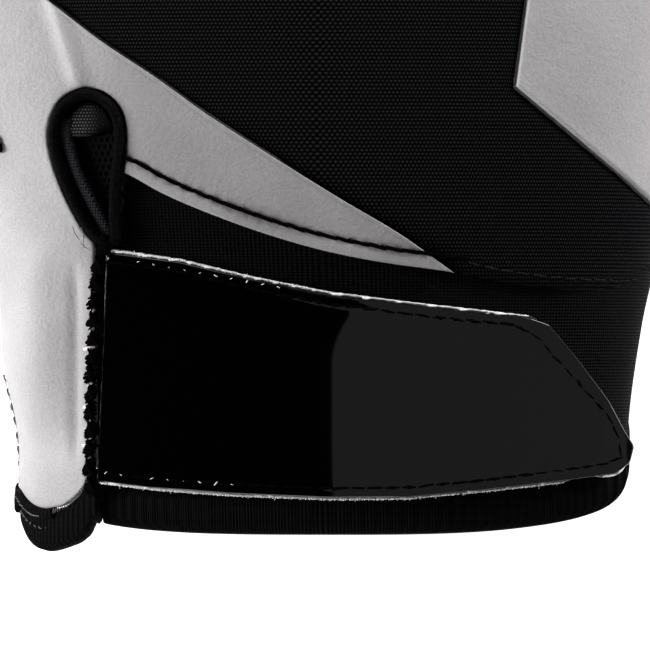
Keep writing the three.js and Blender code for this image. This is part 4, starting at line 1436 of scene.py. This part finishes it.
def thread_tree():
    """Geometry nodes that lay small bent threads along lines."""
    name = "Threads along lines"
    if name in bpy.data.node_groups:
        return bpy.data.node_groups[name]
    tree = bpy.data.node_groups.new(name, "GeometryNodeTree")
    tree.interface.new_socket("Lines", in_out="INPUT", socket_type="NodeSocketGeometry")
    for label, kind, value in (
        ("Pitch", "NodeSocketFloat", 0.002), ("Length", "NodeSocketFloat", 0.0015),
        ("Thickness", "NodeSocketFloat", 0.0002), ("Rise", "NodeSocketFloat", 0.0002),
        ("Turn", "NodeSocketFloat", 0.0), ("Loose", "NodeSocketFloat", 0.1),
        ("Uneven", "NodeSocketFloat", 0.1), ("Seed", "NodeSocketInt", 1),
        ("Finish", "NodeSocketMaterial", None),
    ):
        socket = tree.interface.new_socket(label, in_out="INPUT", socket_type=kind)
        if value is not None:
            socket.default_value = value
    tree.interface.new_socket("Threads", in_out="OUTPUT", socket_type="NodeSocketGeometry")
    start = tree.nodes.new("NodeGroupInput").outputs
    end = tree.nodes.new("NodeGroupOutput").inputs
    curve = wire(tree, "GeometryNodeMeshToCurve", {0: start["Lines"]})
    even = wire(tree, "GeometryNodeResampleCurve",
                {"Curve": curve.outputs[0], "Length": start["Pitch"]}, mode="LENGTH")
    half = arithmetic(tree, "MULTIPLY", start["Length"], 0.5)
    back = wire(tree, "ShaderNodeCombineXYZ", {0: arithmetic(tree, "MULTIPLY", half, -1.0)})
    top = wire(tree, "ShaderNodeCombineXYZ",
               {2: arithmetic(tree, "MULTIPLY", start["Rise"], 2.0)})
    front = wire(tree, "ShaderNodeCombineXYZ", {0: half})
    arc = wire(tree, "GeometryNodeCurveQuadraticBezier",
               {"Resolution": 5, "Start": back.outputs[0], "Middle": top.outputs[0],
                "End": front.outputs[0]})
    ring = wire(tree, "GeometryNodeCurvePrimitiveCircle",
                {"Resolution": 5,
                 "Radius": arithmetic(tree, "MULTIPLY", start["Thickness"], 0.5)})
    thread = wire(tree, "GeometryNodeCurveToMesh",
                  {"Curve": arc.outputs[0], "Profile Curve": ring.outputs[0],
                   "Fill Caps": True})
    tangent = tree.nodes.new("GeometryNodeInputTangent")
    up = wire(tree, "GeometryNodeInputNamedAttribute", {"Name": "up"},
              data_type="FLOAT_VECTOR")
    stand = wire(tree, "FunctionNodeAxesToRotation",
                 {"Primary Axis": up.outputs[0], "Secondary Axis": tangent.outputs[0]},
                 primary_axis="Z", secondary_axis="X")

    def chance(low, high, more):
        return wire(tree, "FunctionNodeRandomValue",
                    {2: low, 3: high,
                     "Seed": arithmetic(tree, "ADD", start["Seed"], float(more))},
                    data_type="FLOAT").outputs[1]

    loose = arithmetic(tree, "MULTIPLY", chance(-1.0, 1.0, 0), start["Loose"])
    turn = wire(tree, "ShaderNodeCombineXYZ",
                {1: arithmetic(tree, "MULTIPLY", loose, 0.4),
                 2: arithmetic(tree, "ADD", start["Turn"], loose)})
    spin = wire(tree, "FunctionNodeRotateRotation",
                {"Rotation": stand.outputs[0], "Rotate By": turn.outputs[0]},
                rotation_space="LOCAL")
    swell = wire(tree, "GeometryNodeInputNamedAttribute", {"Name": "swell"},
                 data_type="FLOAT")
    size = arithmetic(tree, "ADD", swell.outputs[0],
                      arithmetic(tree, "MULTIPLY", chance(-1.0, 1.0, 7), start["Uneven"]))
    many = wire(tree, "GeometryNodeInstanceOnPoints",
                {"Points": even.outputs[0], "Instance": thread.outputs[0],
                 "Rotation": spin.outputs[0], "Scale": size})
    real = wire(tree, "GeometryNodeRealizeInstances", {0: many.outputs[0]})
    smooth = wire(tree, "GeometryNodeSetShadeSmooth", {0: real.outputs[0]})
    done = wire(tree, "GeometryNodeSetMaterial",
                {"Geometry": smooth.outputs[0], "Material": start["Finish"]})
    tree.links.new(done.outputs[0], end[0])
    return tree


# Colour, roughness and shine of each shade
THREAD_SHADES = {
    "Black": ((0.0022, 0.0022, 0.0026), 0.5, 0.0),
    "Grey": ((0.02, 0.02, 0.022), 0.5, 0.0),
    "Dim": ((0.16, 0.16, 0.165), 0.6, 0.0),
    "Pale": ((0.95, 0.94, 0.92), 0.7, 0.3),
}
THREAD_SIZES = ("Pitch", "Length", "Thickness", "Rise", "Turn", "Loose", "Uneven", "Seed")
FOLD_PITCH = STITCH_PITCH / 1000
QUARTER = math.pi / 2
# Shade and slot of each piece of threads, then its sizes in the order above, in metres and radians
SEWN = {
    "fold_stitches": ("Black", "binding_tape", FOLD_PITCH, .0023, .00056, .00022, -.07, .05, .06, 3),
    "fold_loops": ("Black", "binding_tape", FOLD_PITCH, .0009, .00036, .00026, .35, .2, .2, 5),
    "hem_stitches": ("Grey", "binding_tape", .0021, .0017, .00024, .00014, 0.0, .1, .12, 8),
    "thumb_stitches": ("Black", "binding_tape", .0026, .0019, .00034, .00016, 0.0, .06, .08, 14),
    "root_stitches": ("Grey", "binding_tape", .0024, .0018, .0003, .00014, 0.0, .08, .1, 15),
    "strap_holes": ("Black", "binding_tape", .0022, .0006, .0004, .00002, 0.0, .3, .3, 10),
    "strap_stitches": ("Black", "binding_tape", .0022, .0019, .00026, .00012, 0.0, .14, .15, 11),
    # Pale bits standing for glints on the strap's stitches: painted highlights.
    "strap_stitch_glints": ("Pale", "strap_backing", .0019, .00045, .00011, .0001, .3, .9, .5, 12),
    "raw_edge_1": ("Pale", "strap_backing", .00015, .00022, .0001, .00005, 1.2, .9, .4, 21),
    "raw_edge_2": ("Pale", "strap_backing", .0005, .00036, .00006, .00005, .8, .9, .4, 22),
    "raw_edge_3": ("Pale", "strap_backing", .0034, .0007, .00005, .00005, 1.3, .9, .4, 23),
    "overlock_bundles": ("Black", "binding_tape", .00019, .0021, .00034, .0005, QUARTER + .45,
                         .16, .12, 31),
    "overlock_knots": ("Black", "binding_tape", .0004, .0016, .00036, .0005, .3, .5, .2, 32),
    "torn_leather_bits": ("Pale", "white_leather", .00245, .0012, .00042, .0002, 1.3, .8, .5, 34),
    "stray_hairs": ("Grey", "binding_tape", .0011, .0017, .00007, .0003, 0.0, .3, .2, 33),
    "hem_twill_stitches": ("Dim", "binding_tape", .00042, .00055, .00014, .0001, .9, .2, .3, 51),
    "hem_pale_stitches": ("Dim", "binding_tape", .0011, .0004, .00014, .0001, .2, .8, .5, 52),
    # A line of dim thread along the roll's ridge that stands for its highlight: a painted highlight.
    "hem_ridge_painted_highlight": ("Dim", "binding_tape", .001, .0012, .00013, .0001, .1, .2, .3, 55),
    "outline_eyelet": ("Black", "binding_tape", .0002, .0012, .0004, .0001, QUARTER, .1, .15, 56),
    "outline_seam_pale": ("Pale", "binding_tape", .0019, .001, .0003, .0001, .5, .4, .3, 53),
    "outline_seam_dark": ("Dim", "binding_tape", .0019, .001, .0003, .0001, .5, .4, .3, 54),
    "side_seam_upper": ("Black", "binding_tape", .0024, .0017, .00034, .0002, 0.0, .1, .1, 41),
    "side_seam_lower": ("Pale", "binding_tape", .0024, .0017, .00034, .0002, 0.0, .1, .1, 42),
    "side_seam_wraps": ("Black", "binding_tape", .0011, .0017, .00034, .0002, QUARTER, .1, .1, 43),
}


@functools.cache
def thread_finish(shade):
    """Twisted thread in one of the shades."""
    colour, shine, gloss = THREAD_SHADES[shade]
    finish, tree, shader = blank_finish(shade + " thread", Specular_IOR_Level=gloss)
    twist = wire(tree, "ShaderNodeTexWave",
                 {"Vector": object_place(tree), "Scale": 1.6, "Distortion": 2.0},
                 bands_direction="DIAGONAL").outputs["Fac"]
    dress(tree, shader, shades(tree, twist, colour, 0.6, 1),
          ramp(tree, twist, shine + 0.15, shine), twist, 0.6, 0.00008)
    return finish


def threads(name, lines):
    """A piece of threads laid along lines, each a pair of points and upward directions."""
    shade, slot, *sizes = SEWN[name]
    points = np.concatenate([line[0] for line in lines])
    ups = np.concatenate([line[1] for line in lines])
    edges = []
    first = 0
    for line in lines:
        count = len(line[0])
        edges += [(i, i + 1) for i in range(first, first + count - 1)]
        first += count
    data = bpy.data.meshes.new(name + "_lines")
    data.from_pydata(to_frame(points), edges, [])
    data.attributes.new("up", "FLOAT_VECTOR", "POINT").data.foreach_set("vector", ups.ravel())
    swell = np.concatenate([line[2] if len(line) > 2 else np.ones(len(line[0]))
                            for line in lines])
    data.attributes.new("swell", "FLOAT", "POINT").data.foreach_set("value", swell)
    carrier = placed(name + "_lines", data)
    tree = thread_tree()
    modifier = carrier.modifiers.new("Threads", "NODES")
    modifier.node_group = tree
    values = {"Finish": thread_finish(shade), **dict(zip(THREAD_SIZES, sizes))}
    for item in tree.interface.items_tree:
        if item.item_type == "SOCKET" and item.in_out == "INPUT" and item.name in values:
            modifier[item.identifier] = values[item.name]
    depsgraph = bpy.context.evaluated_depsgraph_get()
    mesh = bpy.data.meshes.new_from_object(carrier.evaluated_get(depsgraph))
    bpy.data.objects.remove(carrier)
    for attribute in [a.name for a in mesh.attributes if a.name in ("up", "swell")]:
        mesh.attributes.remove(mesh.attributes[attribute])
    mesh.name = name
    piece = placed(name, mesh)
    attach(piece, "root")
    return piece


def seam_rows():
    """Rows of stitches on the folded wedge, the back's hem and the strap, with painted glints of
    pale thread on the strap's stitches.
    """
    points, ups = laid(even_line(beside(FOLD[5:], STITCH_INSET), 0.4), 0.2)
    threads("fold_stitches", [(points, ups)])
    threads("fold_loops", [(points[2:], ups[2:])])
    threads("hem_stitches", [laid(even_line(beside(HEM[2:-6], 1.75), 0.4), -0.2)])
    threads("thumb_stitches", [laid_above(even_line(beside(THUMB[7:27], -1.7), 0.4), 0.2, 9)])
    threads("root_stitches", [laid_above(even_line(beside(ROOT[3:-4], 1.6), 0.4), -0.05, 9)])
    inner = inset(STRAP, 1.2)
    tip = smooth_line(((23.4, 27.8), (26.8, 26.4), (29.5, 23.5), (33.1, 19.6), (35.8, 16.5),
                       (37.2, 14.6), (38, 12), (38.1, 11.4)))
    rows = [np.concatenate((inner[0:6], [(35.5, 9.3), (37.6, 10.0)])), tip,
            np.concatenate(([(23.4, 27.8)], inner[15:20]))]
    rows = [strap_face(even_line(row, 0.4), 1.0) for row in rows]
    threads("strap_holes", rows)
    threads("strap_stitches", rows)
    # Pale bits on the strap's stitches: painted glints.
    threads("strap_stitch_glints", [strap_face(even_line(row, 0.4), 1.12) for row in (
        inner[0:3], np.array([(-6.0, 32.55), (-14.0, 34.0), (-24.0, 35.9)]))])


def inset(outline, distance):
    """A closed outline drawn in by a distance, each corner kept."""
    before = outline - np.roll(outline, 1, 0)
    after = np.roll(outline, -1, 0) - outline
    before /= np.linalg.norm(before, axis=1)[:, None]
    after /= np.linalg.norm(after, axis=1)[:, None]
    area = (outline[:, 0] * np.roll(outline[:, 1], -1)
            - outline[:, 1] * np.roll(outline[:, 0], -1)).sum()
    middle = before + after
    middle /= np.linalg.norm(middle, axis=1)[:, None]
    side = np.stack((-middle[:, 1], middle[:, 0]), 1) * np.sign(area)
    stretch = 1 / np.maximum((middle * after).sum(1), 0.5)
    return outline + side * (distance * stretch)[:, None]


def frayed_edges():
    """Loose pale fibres along the backing's raw edge."""
    edge = inset(STRAP, -0.26)
    parts = [edge[0:7], edge[16:20]]
    lines = [strap_face(even_line(part, 0.5), 0.75) for part in parts]
    for i in (1, 2, 3):
        threads(f"raw_edge_{i}", lines)


def overlock():
    """Bundles of black thread that sew the strap's end over the leather's edge."""
    path = np.array([(-28.6, 37.2), (-29.6, 33), (-30.0, 28), (-30.1, 22), (-30.2, 16),
                     (-30.4, 11), (-30.5, 7.5), (-29.8, 3.6)])
    path = even_line(path, 2.45)
    shake = np.random.default_rng(4)
    bundles = []
    knots = []
    rows = np.linspace(0, 1, 9)
    for spot in path[:-1]:
        tall = shake.uniform(1.7, 2.2)
        lean = shake.uniform(-0.2, 0.2)
        start = spot + (shake.uniform(-0.15, 0.15), -0.2)
        points, ups = laid(start + rows[:, None] * (lean, tall), 0.7)
        swell = 0.45 + 0.6 * np.sin(math.pi * np.clip(rows * 0.9 + 0.16, 0, 1)) ** 0.8
        bundles.append((points, ups, swell))
        points, ups = laid(start + (0.45, 0.1) + rows[:, None] * (-0.5, tall), 1.0)
        knots.append((points, ups, swell))
    threads("overlock_bundles", bundles)
    threads("overlock_knots", knots)
    torn = [laid(path[1:-1] + (-0.35, 0.2), 0.45)]
    threads("torn_leather_bits", torn)
    hairs = [laid(np.array(line), 0.6) for line in (
        [(-32.2, 39.6), (-31.3, 38.6), (-31.0, 37.9)], [(-31.2, 39.9), (-31.1, 38.7)])]
    threads("stray_hairs", hairs)


def wrist_stitches():
    """Stitches on the bound hem's side part, a painted highlight of dim thread along its roll's
    ridge, and stitches along the seam at the thumb-side outline.
    """
    span = LEFT_SEAM - SLIT_ANGLE

    def along(first, last, place, offset):
        angles = np.linspace(SLIT_ANGLE + first * span, SLIT_ANGLE + last * span, 60)
        points = on_section(place(angles), angles, offset)
        return points, facing(points)[0]

    threads("hem_twill_stitches", [along(0.01, 0.3, lambda a: hem_top(a) - 0.25, 0.6)])
    threads("hem_pale_stitches", [along(0.25, 0.5, lambda a: hem_top(a) - 2.3, 0.6)])
    # Painted highlight along the ridge of the hem's roll.
    threads("hem_ridge_painted_highlight", [along(0.3, 0.6, lambda a: hem_top(a) - 0.75, 1.05)])
    eyelet = smooth_line(((-43.35, 52.1), (-42.95, 51.7), (-42.7, 51.2), (-42.5, 50.4)))
    threads("outline_eyelet", [laid(eyelet, 0.4)])
    for name, shift in (("outline_seam_pale", 0.0), ("outline_seam_dark", 0.75)):
        rows = np.linspace(6.4, 20, 40) + shift
        points = on_section(rows, math.pi - 0.04, 0.35 + 0.9 * bell(rows - 22, 5.5))
        threads(name, [(points, facing(points)[0])])


def level_lines(mesh, height):
    """Lines round the outer face at one height."""
    points, faces = mesh
    points, faces, _ = cut(points, faces, points[:, 2] - height)
    edges = edges_of(faces)
    flat = np.abs(points[:, 2] - height) < 1e-6
    edges = edges[flat[edges].all(1)]
    side = {}
    for a, b in edges.tolist():
        side.setdefault(a, set()).add(b)
        side.setdefault(b, set()).add(a)
    lines = []
    while side:
        ends = [key for key, near in side.items() if len(near) == 1]
        here = ends[0] if ends else next(iter(side))
        line = [here]
        while here in side and side[here]:
            there = side[here].pop()
            side[there].discard(here)
            if not side[here]:
                del side[here]
            line.append(there)
            here = there
        side = {key: near for key, near in side.items() if near}
        if len(line) > 20:
            lines.append(points[line])
    return lines


def side_seams():
    """Rows of stitches above and below the seam between the palm and the back."""
    for name, height in (("side_seam_upper", SEAM_Z + 1.5), ("side_seam_lower", SEAM_Z - 1.6),
                         ("side_seam_wraps", SEAM_Z)):
        lines = []
        for line in level_lines(whole_net(), height):
            line = even_line(line, 0.6)
            normal = facing(line)[0]
            worn = off_hem(line) > 0.5
            for part in np.split(np.arange(len(line)), np.nonzero(np.diff(worn))[0] + 1):
                if worn[part[0]] and len(part) > 4:
                    lines.append((line[part] + normal[part] * 0.22, normal[part]))
        threads(name, lines)


def make_stage():
    settings = bpy.context.scene.glove_stage
    data = bpy.data.meshes.new("floor")
    data.from_pydata([(-3, -3, 0), (3, -3, 0), (3, 3, 0), (-3, 3, 0)], [], [(0, 1, 2, 3)])
    floor = placed("floor", data)
    finish, _, shader = blank_finish("Pale floor", Roughness=0.9)
    shader.inputs["Base Color"].default_value = (0.9, 0.9, 0.9, 1)
    shader.inputs["Emission Color"].default_value = (1, 1, 1, 1)
    shader.inputs["Emission Strength"].default_value = 0.8
    data.materials.append(finish)
    centre = to_frame(np.array((0.0, 27.56, 34.0)))
    camera_data = bpy.data.cameras.new("camera")
    camera_data.lens = 36 * settings.camera_distance / 0.0845
    camera_data.clip_end = 10
    camera = placed("camera", camera_data)
    camera.location = (centre[0], centre[1], centre[2] + settings.camera_distance)
    bpy.context.scene.camera = camera
    for name, place, size, power in (
        ("key", (-1.0, 0.1, 0.38), 0.5, 17.5),
        ("right", (0.85, 0.6, 0.2), 0.5, 14.5),
        ("top", (-0.15, 1.1, 0.3), 0.6, 5),
        ("front", (-0.15, -1.1, 0.3), 0.6, 6),
        ("strap glow", (1.026, -0.07, 0.9), 2.0, 3.4),
    ):
        light_data = bpy.data.lights.new(name, "AREA")
        light_data.size = size
        light_data.energy = power
        light = placed(name, light_data)
        light.location = place
        if name != "strap glow":
            aim = Vector(centre) - Vector(place)
            light.rotation_euler = aim.to_track_quat("-Z", "Y").to_euler()
    world = bpy.data.worlds.new("studio")
    world.use_nodes = True
    tree = world.node_tree
    back = tree.nodes["Background"]
    back.inputs[0].default_value = (1, 1, 1, 1)
    place = tree.nodes.new("ShaderNodeTexCoord").outputs["Generated"]
    high = wire(tree, "ShaderNodeSeparateXYZ", {0: place}).outputs[2]
    low, top = settings.surround, settings.surround * 0.02
    tree.links.new(ramp(tree, high, low, top, 0.2, 0.5), back.inputs[1])
    bpy.context.scene.world = world
    bpy.context.scene.view_settings.view_transform = "Standard"


# Add-on

class GloveColours(bpy.types.PropertyGroup):
    leather: FloatVectorProperty(
        name="Leather", description="White of the panels, the thumb and the palm",
        default=(0.40, 0.388, 0.392), subtype="COLOR", min=0, max=1)
    fabric: FloatVectorProperty(
        name="Fabric", description="Black of the knitted and bound pieces",
        default=(0.0026, 0.0027, 0.0031), subtype="COLOR", min=0, max=1)
    strap: FloatVectorProperty(
        name="Strap", description="Black of the strap's glossy skin",
        default=(0.0003, 0.0003, 0.0003), subtype="COLOR", min=0, max=1)
    backing: FloatVectorProperty(
        name="Backing", description="White of the strap's raw backing",
        default=(0.95, 0.94, 0.92), subtype="COLOR", min=0, max=1)


class GloveStage(bpy.types.PropertyGroup):
    camera_distance: FloatProperty(
        name="Camera distance", description="From the strap to the camera",
        default=0.966, unit="LENGTH", min=0.3)
    surround: FloatProperty(
        name="Surround", description="Strength of the light from all round",
        default=0.15, subtype="FACTOR", min=0, max=2)


class GLOVE_OT_leather(bpy.types.Operator):
    """Make the white leather panels and the palm"""
    bl_idname = "glove.leather"
    bl_label = "Leather panels"

    def execute(self, context):
        make_side_panel()
        make_outer_panel()
        make_thumb_back()
        make_palm()
        return {"FINISHED"}


class GLOVE_OT_backs(bpy.types.Operator):
    """Make the black backs of the hand and fingers"""
    bl_idname = "glove.backs"
    bl_label = "Fabric backs"

    def execute(self, context):
        make_hand_back()
        make_finger_backs()
        make_side_walls()
        return {"FINISHED"}


class GLOVE_OT_wrist(bpy.types.Operator):
    """Make the knitted cuff and the bound edges"""
    bl_idname = "glove.wrist"
    bl_label = "Cuff and hems"

    def execute(self, context):
        make_cuff()
        make_lining()
        make_hems()
        make_slit()
        return {"FINISHED"}


class GLOVE_OT_strap(bpy.types.Operator):
    """Make the glossy strap and its backing"""
    bl_idname = "glove.strap"
    bl_label = "Strap"

    def execute(self, context):
        make_strap()
        return {"FINISHED"}


class GLOVE_OT_stitching(bpy.types.Operator):
    """Sew the rows of stitches and the raw edges, with thread that paints highlights"""
    bl_idname = "glove.stitching"
    bl_label = "Stitching"

    def execute(self, context):
        seam_rows()
        frayed_edges()
        overlock()
        wrist_stitches()
        side_seams()
        return {"FINISHED"}


class GLOVE_OT_stage(bpy.types.Operator):
    """Set the floor, the lights and the camera"""
    bl_idname = "glove.stage"
    bl_label = "Stage"

    def execute(self, context):
        make_stage()
        return {"FINISHED"}


OPERATORS = (GLOVE_OT_leather, GLOVE_OT_backs, GLOVE_OT_wrist, GLOVE_OT_strap,
             GLOVE_OT_stitching, GLOVE_OT_stage)


class GLOVE_PT_pieces(bpy.types.Panel):
    """Settings and makers of the glove's pieces"""
    bl_label = "Receiver glove"
    bl_space_type = "VIEW_3D"
    bl_region_type = "UI"
    bl_category = "Glove"

    def draw(self, context):
        for settings in (context.scene.glove_colours, context.scene.glove_stage):
            for key in settings.__annotations__:
                self.layout.prop(settings, key)
        for made in OPERATORS:
            self.layout.operator(made.bl_idname)


CLASSES = (GloveColours, GloveStage, *OPERATORS, GLOVE_PT_pieces)


def register():
    for made in CLASSES:
        bpy.utils.register_class(made)
    bpy.types.Scene.glove_colours = PointerProperty(type=GloveColours)
    bpy.types.Scene.glove_stage = PointerProperty(type=GloveStage)


def unregister():
    del bpy.types.Scene.glove_stage
    del bpy.types.Scene.glove_colours
    for made in reversed(CLASSES):
        bpy.utils.unregister_class(made)


def main():
    register()
    bpy.ops.glove.leather()
    bpy.ops.glove.backs()
    bpy.ops.glove.wrist()
    bpy.ops.glove.strap()
    bpy.ops.glove.stitching()
    bpy.ops.glove.stage()


if __name__ == "__main__":
    main()
